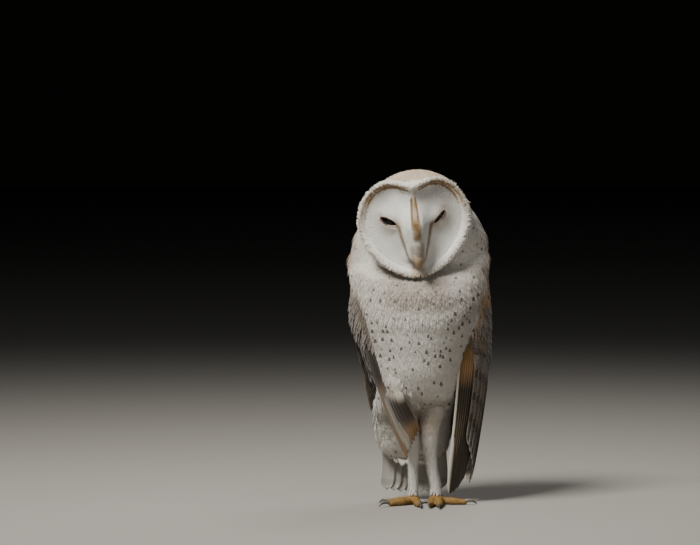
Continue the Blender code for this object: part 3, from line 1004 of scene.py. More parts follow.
def tube_object(name: str, rings: Points) -> Object:
    """A closed tube over rings of points given on the body's axes.

    Args:
        name: Its name.
        rings: The rings.

    Returns:
        The object.
    """
    rows, columns = rings.shape[:2]
    faces: list[tuple[int, ...]] = grid_faces(rows, columns, True)
    faces.append(tuple(range(columns)))
    faces.append(tuple(range((rows - 1) * columns, rows * columns)))
    return mesh_object(name, placed(rings), faces)


def read(items: bpy.types.bpy_prop_collection, key: str, width: int = 1, kind: type = np.int32) -> Points:
    """One property of every item, in rows where it is wider than one number.

    Args:
        items: Points, edges, faces or corners.
        key: The property.
        width: How many numbers each holds.
        kind: The type of number.

    Returns:
        The numbers.
    """
    found = np.empty(len(items) * width, kind)
    items.foreach_get(key, found)
    return found.reshape(-1, width) if width > 1 else found


def store(mesh: Mesh, name: str, values: Points, kind: str = "FLOAT") -> None:
    """Keeps numbers on a mesh's points.

    Args:
        mesh: The mesh.
        name: The attribute's name.
        values: One for each point.
        kind: The attribute's type.
    """
    made = mesh.attributes.new(name, kind, "POINT")
    key = "value" if kind == "FLOAT" else "vector"
    made.data.foreach_set(key, np.ascontiguousarray(values, np.float32).ravel())


def points_of(mesh: Mesh) -> Points:
    """A mesh's points, in metres."""
    return read(mesh.vertices, "co", 3, np.float32).astype(float)


def settle(obj: Object) -> Object:
    """Turns an object's modifiers into plain mesh.

    Args:
        obj: The object.

    Returns:
        The same object.
    """
    mesh = bpy.data.meshes.new_from_object(obj.evaluated_get(bpy.context.evaluated_depsgraph_get()))
    obj.modifiers.clear()
    obj.data = mesh
    return obj


def welded(obj: Object, distance: float) -> Object:
    """Joins an object's points that lie this close together, in metres.

    Args:
        obj: The object.
        distance: How close they lie.

    Returns:
        The same object.
    """
    weld = obj.modifiers.new("weld", "WELD")
    weld.merge_threshold = distance
    return settle(obj)


def even_shading(obj: Object, share: float) -> None:
    """Draws a coat's shading towards the skin under it, as soft barbs that blend into each other do.

    Args:
        obj: The coat, which holds the skin's normal at each root as `up`.
        share: How much of the skin's normal is taken.
    """
    mesh = obj.data
    corners, sizes = read(mesh.loops, "vertex_index"), read(mesh.polygons, "loop_total")
    under = read(mesh.attributes["up"].data, "vector", 3, np.float32)[corners]
    own = read(mesh.vertices, "normal", 3, np.float32)[corners]
    flat = np.repeat(read(mesh.polygons, "normal", 3, np.float32), sizes, axis=0)
    # The underside of a feather takes the skin's normal the other way round.
    under = under * np.where((flat * under).sum(1) < -0.2, -1, 1)[:, None]
    taken = (share * (1 - 0.8 * ease(-under[:, 2], 0.25, 0.7)))[:, None]
    leans = unit(under * taken + own * (1 - taken))
    mesh.attributes.remove(mesh.attributes["up"])
    mesh.normals_split_custom_set(leans.tolist())


def dress(obj: Object, material: Material, slot: str, *nodes: str) -> Object:
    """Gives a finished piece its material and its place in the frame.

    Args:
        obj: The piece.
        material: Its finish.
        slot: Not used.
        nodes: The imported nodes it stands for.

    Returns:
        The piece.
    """
    obj.data.materials.clear()
    obj.data.materials.append(material)
    obj.data.shade_smooth()
    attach(obj, "root")
    if nodes:
        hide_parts(*nodes)
    LOG.info("%s: %d faces", obj.name, len(obj.data.polygons))
    return obj


# ---------------------------------------------------------------- markings


@dataclass(frozen=True)
class Markings:
    """How grey, gold, dark or spotted the owl is at a point, each from 0 to 1.

    The bounds in each region are millimetres on its own axes, and the factors are shares of 1. Some of the grey, gold
    and dark is painted shade, as noted where it is made.
    """

    def body(self, points: Points) -> Marks:
        """Trunk, neck and legs.

        Args:
            points: Places on the body's axes.

        Returns:
            The numbers, by name.
        """
        x, y, z = points.T
        back = ease(y - np.interp(z, (180, 230), (14, 0)), 0, 22) * ease(z, 84, 112)
        side = ease(np.abs(x - 2), 14, 44)
        neck = ease(z, 214, 236)
        low = 1 - ease(z, 82, 112)
        centre = bell(x - 4, 20) * (1 - ease(y, 0, 16))
        # Painted shadow under the chin: the throat, and most of all its middle just below the disc, is made greyer, a
        # touch olive and darker where the head's shade falls.
        throat_shade = between(z, 182, 208, 232, 244) * (1 - ease(y, -8, 8))
        # Painted shade on the middle of the lower belly, between the wings, made greyer and golden brown.
        belly_shade = low * ease(z, 66, 84) * centre
        # Painted shade on the owl's left side of the breast, away from the key light: greyer and a little darker.
        shade = ease(x, 12, 46) * (1 - ease(z, 190, 215))
        chin_shadow = throat_shade * (1 - ease(np.abs(x), 16, 38))
        # The ground grey of 0.42 is partly the plumage's own grey and partly painted shade that keeps the breast
        # darker than the lit face; the lowest feathering of the legs takes less of it.
        grey = 0.42 + 0.42 * back - 0.26 * neck + 0.40 * throat_shade + 0.20 * chin_shadow + 0.32 * belly_shade + 0.26 * shade
        grey = grey - 0.36 * (1 - ease(z, 40, 70))
        gold = 0.62 * back + 0.08 + 0.42 * belly_shade + 0.02 * throat_shade + 0.08 * chin_shadow + 0.06 * neck
        dark = 0.03 * ease(z, 90, 120) * (1 - neck) + 0.07 * throat_shade + 0.20 * chin_shadow + 0.06 * shade
        # Where the breast meets each wing it takes the wing's own tone.
        left = x > 0
        edge = np.where(left, ease(x, 57, 60.5), ease(-x - np.interp(z, (142, 170, 208), (37, 43, 51)), 0, 3.5))
        edge = edge * between(z, 138, 150, 206, 216) * (1 - back)
        patch = bell(z - 204, 9) * np.where(left, 1.0, 0.3)
        grey = grey * (1 - edge) + 0.8 * edge
        gold = gold * (1 - edge) + (np.where(left, 0.42, 0.24) + 0.5 * patch) * edge
        dark = dark * (1 - edge) + (np.where(left, 0.36, 0.78) - 0.3 * patch) * edge
        size = np.interp(z, (84, 104, 125, 178, 196, 210, 222, 240), (0, 0.6, 1, 0.95, 0.75, 0.6, 0.35, 0.15))
        dots = (size * (0.72 + 0.28 * side) + 0.25 * side * ease(z, 196, 212)) * (1 - 0.7 * back) * (1 - edge)
        flank = low * ease(y, 4, 20) * 0.3
        return self._pack(points, grey=grey, gold=gold, dark=dark, dots=np.clip(dots + flank, 0, 1))

    def head(self, points: Points) -> Marks:
        """The head behind the rim.

        Args:
            points: Places on the body's axes.

        Returns:
            The numbers, by name.
        """
        x, y, z = face_points(points).T
        crown = np.maximum(ease(z, 12, 36) * ease(y, 2, 8), ease(y, 16, 40))
        # The crown's grey is partly its own grey-buff and partly painted shade, standing in for the self-shadow that
        # the evened feather normals take away.
        grey = 0.08 + 0.66 * crown
        gold = 0.10 + 0.50 * crown
        dots = 0.5 * crown + 0.16 * ease(np.abs(x), 35, 48)
        return self._pack(points, grey=grey, gold=gold, dots=dots)

    def face(self, points: Points) -> Marks:
        """The disc and its rim: brow bands, the streak down the ridge, and the dark eye corners, with painted shade
        under the brows and near the disc's border.

        Args:
            points: Places on the body's axes.

        Returns:
            The numbers, by name.
        """
        x, _, z = face_points(points).T
        spread, share = np.abs(x), face_share(x, z)
        high = np.degrees(np.arcsin(np.clip(np.sin(np.arctan2(z, x)), -1, 1)))
        brow = between(share, 0.81, 0.83, 0.89, 0.91)
        brow = brow * (0.35 * ease(high, 4, 20) + 0.65 * ease(high, 26, 44)) * (1 - ease(high, 80, 86))
        # Painted shadow under each brow, heavier on the owl's left, away from the key light.
        brow_shadow = bell(spread - 30, 11) * bell(z - 27, 10) * (0.5 + 0.5 * (x > 0))
        streak, beads = self._ridge(x, z)
        ring, liner = self._slit(x, z)
        path = np.interp(z, (-36, -24, -12, 0, 6.5), (5.0, 8.2, 12.0, 15.4, 17.2))
        corner = bell(spread - path, 1.2 + 0.5 * ease(z, -20, -4)) * between(z, -32, -24, 4, 8)
        fringe = ease(share, 0.985, 1.0) * ease(-high, -10, 20)
        root = ease(-z, 3, 12) * (1 - ease(spread, 4, 9))
        # The grey band from 0.55 to 0.84 of the way out is painted shade near the disc's border.
        grey = 0.03 + 0.12 * between(share, 0.55, 0.74, 0.78, 0.84) + 0.42 * ring
        grey = grey + brow_shadow + 0.25 * beads + 0.30 * root
        gold = np.clip(1.6 * brow + 1.25 * streak + 0.7 * corner + 0.55 * ring + 0.45 * beads, 0, 1)
        gold = gold + 0.12 * ease(share, 0.9, 0.97) + 0.38 * root
        dark = 0.45 * brow + 0.6 * corner + 0.3 * fringe + 0.62 * beads
        dark = dark + 0.52 * streak * (1 - ease(z, 4, 22)) + 0.16 * root
        dark = np.maximum(np.clip(dark, 0, 0.9), 0.65 * liner)
        return self._pack(points, grey=grey, gold=gold, dark=dark)

    def _ridge(self, x: Points, z: Points) -> tuple[Points, Points]:
        """The streak down the ridge, and the beaded lines along its sides.

        Args:
            x: To the owl's left of the middle.
            z: Above the middle.

        Returns:
            Both, from 0 to 1.
        """
        half = np.interp(z, (-4, 8, 16, 34), (2.3, 2.3, 1.7, 0.9))
        streak = np.exp(-((x / half) ** 4)) * between(z, -7, -2, 27, 34)
        streak = streak * (0.6 + 0.4 * (1 - ease(z, 4, 16)))
        grain = 0.5 + 0.5 * np.sin(x * 2.1 + z * 1.3) * np.sin(z * 1.7 - x * 0.9)
        beads = bell(np.abs(x) - half - 0.6, 0.8) * between(z, -6, -1, 26, 34)
        return streak, beads * (0.4 + 0.6 * grain)

    def _slit(self, x: Points, z: Points) -> tuple[Points, Points]:
        """The brown ring about each eye's slit, and the dark line along it.

        Args:
            x: To the owl's left of the middle.
            z: Above the middle.

        Returns:
            Both, from 0 to 1.
        """
        slant = np.where(x < 0, *(math.radians(EYE_SLANT[word]) for word in ("right", "left")))
        out = (np.abs(x) - EYE_OUT) * np.where(x < 0, -1.0, 1.0)
        along = out * np.cos(slant) + (z - EYE_UP) * np.sin(slant)
        above = -out * np.sin(slant) + (z - EYE_UP) * np.cos(slant)
        away = np.hypot(np.maximum(np.abs(along) - EYE_SLIT_LENGTH * 0.32, 0), above * 1.1)
        return bell(away, 5.2), bell(away, 3.0)

    def _pack(self, points: Points, **known: Points) -> Marks:
        """Fills in the numbers that a region leaves out."""
        return {
            name: np.clip(np.broadcast_to(known.get(name, 0.0), len(points)), 0, 1)
            for name in ("grey", "gold", "dots", "dark")
        }


# ---------------------------------------------------------------- skin


@dataclass
class Skin:
    """One skin from crown to toes, lying under the coat."""

    voxel: float = 1.2
    body_coat: float = 3.0
    head_coat: float = 2.4
    face_coat: float = 1.1
    wing_coat: float = 2.6
    leg_coat: float = 1.4
    # The skin as built: its search tree, and each face's evened normal.
    tree: BVHTree | None = None
    leans: Points | None = None

    def build(self) -> Object:
        """Makes the skin and keeps its surface for the coat to stand on.

        Returns:
            The skin's object.
        """
        head = np.concatenate([face_surface(-self.face_coat).grid, head_back_surface(-self.head_coat).grid[2:]])
        pieces = [tube_object("head", head), tube_object("trunk", body_surface(-self.body_coat).grid)]
        for side in Side:
            pieces.append(tube_object("arm", wing_surface(side, -self.wing_coat).grid))
            pieces.append(tube_object("leg", leg_surface(side, -self.leg_coat).grid))
            pieces += [toe_object(side, toe) for toe in TOES[side.word]]
        skin = pieces[0]
        with bpy.context.temp_override(active_object=skin, selected_editable_objects=pieces):
            bpy.ops.object.join()
        skin.name = "owl_skin"
        remesh = skin.modifiers.new("one_skin", "REMESH")
        remesh.mode = "VOXEL"
        remesh.voxel_size = self.voxel * MM
        relax = skin.modifiers.new("relax", "SMOOTH")
        relax.factor, relax.iterations = 0.5, 4
        settle(skin)
        self.open_eyes(skin)
        self.tree = BVHTree.FromObject(skin, bpy.context.evaluated_depsgraph_get())
        self.leans = self.even_normals(skin.data)
        self.mark(skin)
        return skin

    def open_eyes(self, skin: Object) -> None:
        """Cuts each eye's slit and the socket behind it.

        Args:
            skin: The skin's object.
        """
        for side in Side:
            eye = Eye(side)
            for cutter in (eye.socket(), eye.slit()):
                cut = skin.modifiers.new("cut", "BOOLEAN")
                cut.operation, cut.solver, cut.object = "DIFFERENCE", "EXACT", cutter
                settle(skin)
                bpy.data.objects.remove(cutter)

    def even_normals(self, mesh: Mesh, rounds: int = 8) -> Points:
        """Each face's normal, evened out over its neighbours so that feathers lie smoothly.

        Args:
            mesh: The skin's mesh.
            rounds: How many times it is evened.

        Returns:
            One normal for each face.
        """
        normals = read(mesh.vertices, "normal", 3, np.float32).astype(float)
        first, second = read(mesh.edges, "vertices", 2).T
        for _ in range(rounds):
            total = normals.copy()
            for axis in range(3):
                total[:, axis] += np.bincount(first, normals[second, axis], len(normals))
                total[:, axis] += np.bincount(second, normals[first, axis], len(normals))
            normals = unit(total)
        starts, corners = read(mesh.polygons, "loop_start"), read(mesh.loops, "vertex_index")
        return unit(normals[corners[starts]] + normals[corners[starts + 1]] + normals[corners[starts + 2]])

    def mark(self, skin: Object) -> None:
        """Stores the markings on the skin's points.

        Args:
            skin: The skin's object.
        """
        points = on_body(points_of(skin.data))
        local = face_points(points)
        marks, head, face = Markings().body(points), Markings().head(points), Markings().face(points)
        on_head = ease(points[:, 2], 226, 240) * (local[:, 1] < 36)
        on_face = (local[:, 1] < 13) & (np.hypot(local[:, 0], local[:, 2]) < 58)
        for name in marks:
            value = marks[name] * (1 - on_head) + head[name] * on_head
            store(skin.data, name, np.where(on_face, face[name], value))
        store(skin.data, "toe", 1 - ease(points[:, 2], 9, 15))

    def snap(self, points: Points, reach: float) -> tuple[Points, Points, Points]:
        """Moves points onto the skin.

        Args:
            points: Places on the body's axes.
            reach: The furthest that a point may be from the skin and still count, in millimetres.

        Returns:
            Places on the body's axes, the skin's normals, and which points are kept.
        """
        spots, normals, kept = [], [], []
        for index, point in enumerate(placed(points)):
            place, _, face, distance = self.tree.find_nearest(Vector(point))
            if distance <= reach * MM:
                spots.append(place)
                normals.append(self.leans[face])
                kept.append(index)
        return on_body(np.array(spots)), np.array(normals), np.array(kept, int)


@dataclass
class Toe:
    """A toe's line on the ground plan, and its thickness."""

    side: Side
    name: str

    def frame(self) -> tuple[Points, Points, float, float]:
        """The toe's line.

        Returns:
            Where it starts, its heading, its length and its claw's length.
        """
        bearing, aside, length, claw = TOES[self.side.word][self.name]
        x, y = ANKLE[self.side.word]
        turn = math.radians(bearing)
        return np.array((x + aside, y, 0.0)), np.array((math.sin(turn), -math.cos(turn), 0.0)), length, claw

    def heights(self, share: Points) -> Points:
        """Height of its middle line."""
        return np.interp(share, (0, 0.35, 1), (5.6, 3.4, 2.7))

    def radii(self, share: Points) -> Points:
        """Thickness, swelling at each pad."""
        radii = np.interp(share, (0, 1), (4.1, 3.4)) + 0.45 * np.cos(share * 4 * math.pi)
        return radii * np.sqrt(np.clip(1.06 - share**8, 0.02, 1))


def toe_object(side: Side, name: str) -> Object:
    """One toe's skin, flat underneath where it presses on the floor.

    Args:
        side: The owl's side.
        name: The toe's name.

    Returns:
        The object.
    """
    toe = Toe(side, name)
    start, heading, length, _ = toe.frame()
    share, angle = np.linspace(0, 1, 26), turns(20)
    aside = np.array((-heading[1], heading[0], 0.0))
    rings = []
    for s, z, radius in zip(share, toe.heights(share), toe.radii(share)):
        ring = start + heading * length * s + np.outer(np.cos(angle) * radius, aside)
        ring[:, 2] = np.maximum(z + np.sin(angle) * radius, SOLE)
        rings.append(ring)
    return tube_object("toe", np.array(rings))


# ---------------------------------------------------------------- eyes, bill and talons


@dataclass
class Eye:
    """One half-closed eye: ball, lid rim, and the cutters that make room for them."""

    side: Side
    radius: float = EYE_RADIUS - 0.9
    clearance: float = 0.25

    def middle(self) -> Vector:
        """The ball's middle on the face's own axes.

        Returns:
            The point.
        """
        out = EYE_OUT * self.side.value
        share = math.hypot(out, EYE_UP) / FACE_REACH
        forward = face_relief(np.array([out]), np.array([EYE_UP]), np.array([share]))[0]
        return Vector((out, EYE_RADIUS + LID_THICKNESS - forward, EYE_UP))

    def slant(self) -> float:
        """How far the slit's outer end is turned up, in radians."""
        return math.radians(EYE_SLANT[self.side.word])

    def almond(self, steps: int, swell: float = 0.0) -> Points:
        """The slit's outline about the eye's middle, x to the left and z up, before its slant.

        Args:
            steps: How many points.
            swell: How far it is widened.

        Returns:
            The outline's points.
        """
        half_length = EYE_SLIT_LENGTH / 2 + swell
        half_height = EYE_SLIT_HALF[self.side.word] + swell
        angle = turns(steps)
        x = np.cos(angle)
        z = np.sin(angle) * np.abs(np.sin(angle)) ** 0.35
        turn = -self.slant()
        x, z = x * half_length, z * half_height
        return np.stack([x * math.cos(turn) + z * math.sin(turn), -x * math.sin(turn) + z * math.cos(turn)], 1)

    def place(self, local: Points) -> Points:
        """Points about the ball's middle, on the face's axes, as points on the body's axes."""
        return head_points(np.asarray(local) + np.array(self.middle()))

    def ball_rings(self, radius: float, rows: int, columns: int) -> Points:
        """Rings of a ball about its line of sight.

        Args:
            radius: Its radius.
            rows: How many rings.
            columns: How many points in each.

        Returns:
            The rings on the body's axes.
        """
        polar, angle = np.meshgrid(np.linspace(0.02, math.pi - 0.02, rows), turns(columns), indexing="ij")
        ball = [np.sin(polar) * np.cos(angle), -np.cos(polar), np.sin(polar) * np.sin(angle)]
        return self.place(radius * np.stack(ball, -1))

    def socket(self) -> Object:
        """The cutter behind the lids."""
        return tube_object("socket", self.ball_rings(self.radius + self.clearance, 24, 32))

    def slit(self) -> Object:
        """The cutter between the lids.

        Returns:
            The cutter.
        """
        outline = self.almond(40)
        depths = (-EYE_RADIUS * 2.2, -1.0)
        rings = [np.stack([outline[:, 0], np.full(len(outline), y), outline[:, 1]], 1) for y in depths]
        return tube_object("slit", self.place(np.array(rings)))

    def ball(self) -> Object:
        """The eyeball, with how far each point lies from the pupil's middle.

        Returns:
            The ball.
        """
        rows, columns = 48, 64
        ball = tube_object(f"eyeball_{self.side.word}", self.ball_rings(self.radius, rows, columns))
        store(ball.data, "run", np.repeat(np.clip(np.linspace(0, 2, rows), 0, 1), columns))
        return ball

    def rim(self) -> Object:
        """The bare rim that lines the lids.

        Returns:
            The rim.
        """
        steps, sides = 72, 10
        path = self.almond(steps, 0.25)
        radius = self.radius + 0.95
        depth = -np.sqrt(np.maximum(radius**2 - (path**2).sum(1), 1.0))
        middle = np.stack([path[:, 0], depth, path[:, 1]], 1)
        ahead = unit(np.roll(middle, -1, 0) - np.roll(middle, 1, 0))
        out = unit(middle)
        aside = np.cross(ahead, out)
        angle = turns(sides)
        rings = (
            middle[:, None]
            + 0.62 * np.cos(angle)[None, :, None] * aside[:, None]
            + 0.5 * np.sin(angle)[None, :, None] * out[:, None]
        )
        closed = placed(self.place(np.concatenate([rings, rings[:1]])))
        made = mesh_object(f"lid_rim_{self.side.word}", closed, grid_faces(steps + 1, sides, True))
        return welded(made, 0.00002)

    def build(self, eye: Material, lid: Material) -> None:
        """Makes the ball and the rim.

        Args:
            eye: The ball's finish.
            lid: The rim's finish.
        """
        node = f"eye_{self.side.word}"
        dress(self.ball(), eye, node, node)
        dress(self.rim(), lid, node)


@dataclass
class Bill:
    """The hooked bill, with nostrils at its sides."""

    # Forward, down, half width, half height and how sharp its top ridge is.
    upper: tuple = (
        (0, -12, 3.8, 3.8, 0.1), (4, -17, 4.4, 4.2, 0.2), (7.6, -23, 4.7, 4.2, 0.35), (9.4, -28, 4.2, 4.0, 0.5),
        (8.7, -33, 2.9, 2.7, 0.5), (7.6, -36.5, 1.4, 1.5, 0.4), (7.0, -38.3, 0.4, 0.4, 0.0),
    )
    lower: tuple = (
        (-5, -25, 3.5, 2.9, 0.0), (-0.8, -30.5, 3.0, 2.2, 0.0),
        (2.0, -34.2, 1.6, 1.1, 0.0), (2.6, -35.2, 0.5, 0.4, 0.0),
    )
    # Height, how far round the side and how wide.
    nostril: tuple = (-21.5, 0.55, 2.0)

    def half(self, name: str, keys: Sequence[Sequence[float]], rows: int) -> Object:
        """One half of the bill, swept along its middle line.

        Args:
            name: The piece's name.
            keys: Its rows, as `upper` and `lower` give them.
            rows: How many rings.

        Returns:
            The half.
        """
        columns = 40
        table = smooth([(i, *key) for i, key in enumerate(keys)], np.linspace(0, len(keys) - 1, rows))
        middle = np.stack([np.zeros(rows), -table[:, 0], table[:, 1]], 1)
        ahead = unit(np.gradient(middle, axis=0))
        out = np.cross(ahead, np.array((1.0, 0, 0)))
        angle = turns(columns)
        rings, pit_shades = [], []
        drop, lift, spread = self.nostril
        for row in range(rows):
            half_width, half_height, ridge = np.maximum(table[row, 2:], 0.02)
            aside = np.cos(angle) * half_width * (1 - 0.25 * ridge * np.clip(np.sin(angle), 0, 1))
            rise = np.sin(angle) * half_height * (1 + 0.18 * ridge * np.clip(np.sin(angle), 0, 1) ** 6)
            near = np.abs(np.abs(np.cos(angle)) - math.cos(lift)) * 6 + abs(table[row, 1] - drop)
            # Where each nostril lies: it is dented slightly there, and the horn paints the shade of its opening.
            pit = bell(near, spread) * (np.sin(angle) > 0) * (name == "bill_horn_upper")
            rings.append(
                middle[row]
                + np.outer(aside * (1 - 0.16 * pit), np.array((1.0, 0, 0)))
                + np.outer(rise * (1 - 0.16 * pit), -out[row])
            )
            pit_shades.append(pit)
        made = tube_object(name, head_points(np.array(rings)))
        store(made.data, "run", np.repeat(np.linspace(0, 1, rows), columns))
        store(made.data, "pit", np.concatenate(pit_shades))
        return made

    def build(self, horn: Material) -> None:
        """Makes both halves."""
        dress(self.half("bill_horn_upper", self.upper, 44), horn, "bill_upper", "bill_upper")
        dress(self.half("bill_horn_lower", self.lower, 20), horn, "bill_lower", "bill_lower")


@dataclass
class Talon:
    """One curved claw, bent through its turn in degrees."""

    toe: Toe
    turn: float = 60.0
    rows: int = 18
    columns: int = 14

    def build(self, horn: Material) -> None:
        """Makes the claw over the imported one.

        Args:
            horn: Its finish.
        """
        start, heading, length, claw = self.toe.frame()
        share = np.linspace(0, 1, self.rows)
        turned = math.radians(self.turn) * share
        forward = length - 3.0 + claw * np.sin(turned) / math.sin(turned[-1])
        drop = (1 - np.cos(turned)) / (1 - math.cos(turned[-1]))
        heights = 3.3 - 2.4 * drop + 1.6 * np.sin(math.pi * share)
        radii = np.interp(share, (0, 0.5, 1), (2.0, 1.4, 0.4))
        middle = start + np.outer(forward, heading) + np.outer(heights, (0, 0, 1))
        ahead = unit(np.gradient(middle, axis=0))
        aside = np.array((-heading[1], heading[0], 0.0))
        out = np.cross(ahead, aside)
        angle = turns(self.columns)
        rings = (
            middle[:, None]
            + (0.82 * radii[:, None] * np.cos(angle))[:, :, None] * aside
            + (radii[:, None] * np.sin(angle))[:, :, None] * out[:, None]
        )
        side, name = self.toe.side.word, self.toe.name
        made = tube_object(f"talon_{side}_{name}", rings)
        store(made.data, "run", np.repeat(share, self.columns))
        store(made.data, "pit", np.zeros(self.rows * self.columns))
        dress(made, horn, f"claw_{side}_{name}", f"claw_{side}_{name}")


# ---------------------------------------------------------------- feathers


@dataclass(frozen=True)
class TuftShape:
    """A lock of narrow barbs, each a closed blade with a ridge along its top."""

    blades: int = 5
    splay: float = 0.34
    blade_width: float = 0.24
    droop: float = 0.25
    keel: float = 0.06

    def build(self, name: str, rng: Generator) -> Object:
        """Makes the lock one unit long and wide, lying along +Y.

        Args:
            name: The lock's name.
            rng: The source of the slight unevenness.

        Returns:
            The lock.
        """
        points, faces, vane = [], [], []
        for index in range(self.blades):
            centre = (index - (self.blades - 1) / 2) / max(self.blades - 1, 1)
            reach = 1 - 0.28 * abs(centre) * 2 * rng.uniform(0.5, 1) + rng.uniform(-0.08, 0.03)
            first = len(points)
            for t, wide in ((0.0, 0.75), (0.5, 1.0)):
                x = centre * (0.42 + self.splay * t) + rng.uniform(-0.02, 0.02)
                z = self.rise(t) - abs(centre) * 0.16 * t
                half = self.blade_width * wide / 2
                points += [(x - half, t * reach, z), (x, t * reach, z + self.keel), (x + half, t * reach, z)]
                lift = 0.06 if t == 0 else 0.0
                vane += [(0.5 + x - half, t), (0.5 + x, t + lift), (0.5 + x + half, t)]
            x = centre * (0.42 + self.splay) + rng.uniform(-0.05, 0.05)
            points.append((x, reach, self.rise(1.0) - abs(centre) * 0.16))
            vane.append((0.5 + x, 1.0))
            a, b, c, d, e, f, tip = range(first, first + 7)
            faces += [(a, c, b), (a, b, e, d), (b, c, f, e), (c, a, d, f), (d, e, tip), (e, f, tip), (f, d, tip)]
        return feather_object(name, points, faces, vane)

    def rise(self, t: float) -> float:
        """Height of the lock's middle at a share of its length."""
        return t**0.75 * (1 + self.droop) - self.droop * t**3 - ROOT_DEPTH


@dataclass(frozen=True)
class VaneShape:
    """A rounded contour feather: cambered on top, closed by a flat underside."""

    columns: int = 4
    rows: int = 5
    camber: float = 0.5
    ragged: float = 0.04
    # The tip's width, and how far it bends back to the skin.
    end: float = 0.3
    bend: float = 0.12

    def build(self, name: str, rng: Generator) -> Object:
        """Makes the feather one unit long and wide, lying along +Y.

        Args:
            name: The feather's name.
            rng: The source of the slight unevenness.

        Returns:
            The feather.
        """
        across = np.linspace(-1, 1, self.columns + 1)
        run = 1 - (1 - np.linspace(0, 1, self.rows + 1)) ** 1.25
        points, vane = [], []
        for t in run:
            half = 0.5 * float(np.interp(t, (0, 0.25, 0.6, 0.85, 1), (0.3, 0.8, 1.0, 0.86, self.end)))
            for u in across:
                notch = self.ragged * rng.uniform(-1, 1) * (t > 0.9)
                y = t - 0.16 * u * u * t + notch
                rise = (1 + self.bend) * max(y, 0.0) ** 0.8 - self.bend * y**3 - ROOT_DEPTH
                points.append((u * half, y, rise - self.camber * (u * half * 2) ** 2 * 0.5))
                vane.append((0.5 + u * half, t * 0.96 + 0.02 + 0.02 * (1 - u * u)))
        faces = grid_faces(self.rows + 1, self.columns + 1, False)
        width = self.columns + 1
        for r in range(self.rows):
            faces.append((r * width, (r + 1) * width, (r + 2) * width - 1, (r + 1) * width - 1))
        faces.append(tuple(range(width)))
        faces.append(tuple(self.rows * width + i for i in reversed(range(width))))
        return feather_object(name, points, faces, vane)


def feather_object(name: str, points: Sequence, faces: Sequence, vane: Sequence) -> Object:
    """A feather to be repeated, with its own across and along stored on it.

    Args:
        name: The feather's name.
        points: Its points, one unit long and wide.
        faces: Its faces, by their points.
        vane: Across and along at each point.

    Returns:
        The feather.
    """
    made = mesh_object(name, np.array(points, float), faces)
    store(made.data, "vane", np.array(vane), "FLOAT2")
    return made


@dataclass
class Roots:
    """Where a coat's feathers stand, on the body's axes, and how each one is."""

    points: Points
    normals: Points
    lies: Points
    sizes: Points
    seats: Points
    marks: Marks

    def object(self, name: str, rng: Generator) -> Object:
        """The roots as loose points that carry their numbers.

        Args:
            name: Its name.
            rng: The source of each feather's `hue`.

        Returns:
            The object.
        """
        mesh = bpy.data.meshes.new(name)
        mesh.from_pydata(placed(self.points).tolist(), [], [])
        low, high = self.seats.min(0), self.seats.max(0)
        seats = 0.006 + 0.988 * (self.seats - low) / np.maximum(high - low, 1e-6)
        flat = np.zeros((len(seats), 1))
        store(mesh, "up", self.normals, "FLOAT_VECTOR")
        store(mesh, "lie", self.lies, "FLOAT_VECTOR")
        store(mesh, "span", self.sizes * MM, "FLOAT_VECTOR")
        store(mesh, "seat", np.concatenate([seats, flat], 1), "FLOAT_VECTOR")
        store(mesh, "hue", rng.uniform(0, 1, len(seats)))
        for key, value in self.marks.items():
            store(mesh, key, value)
        return linked(name, mesh)


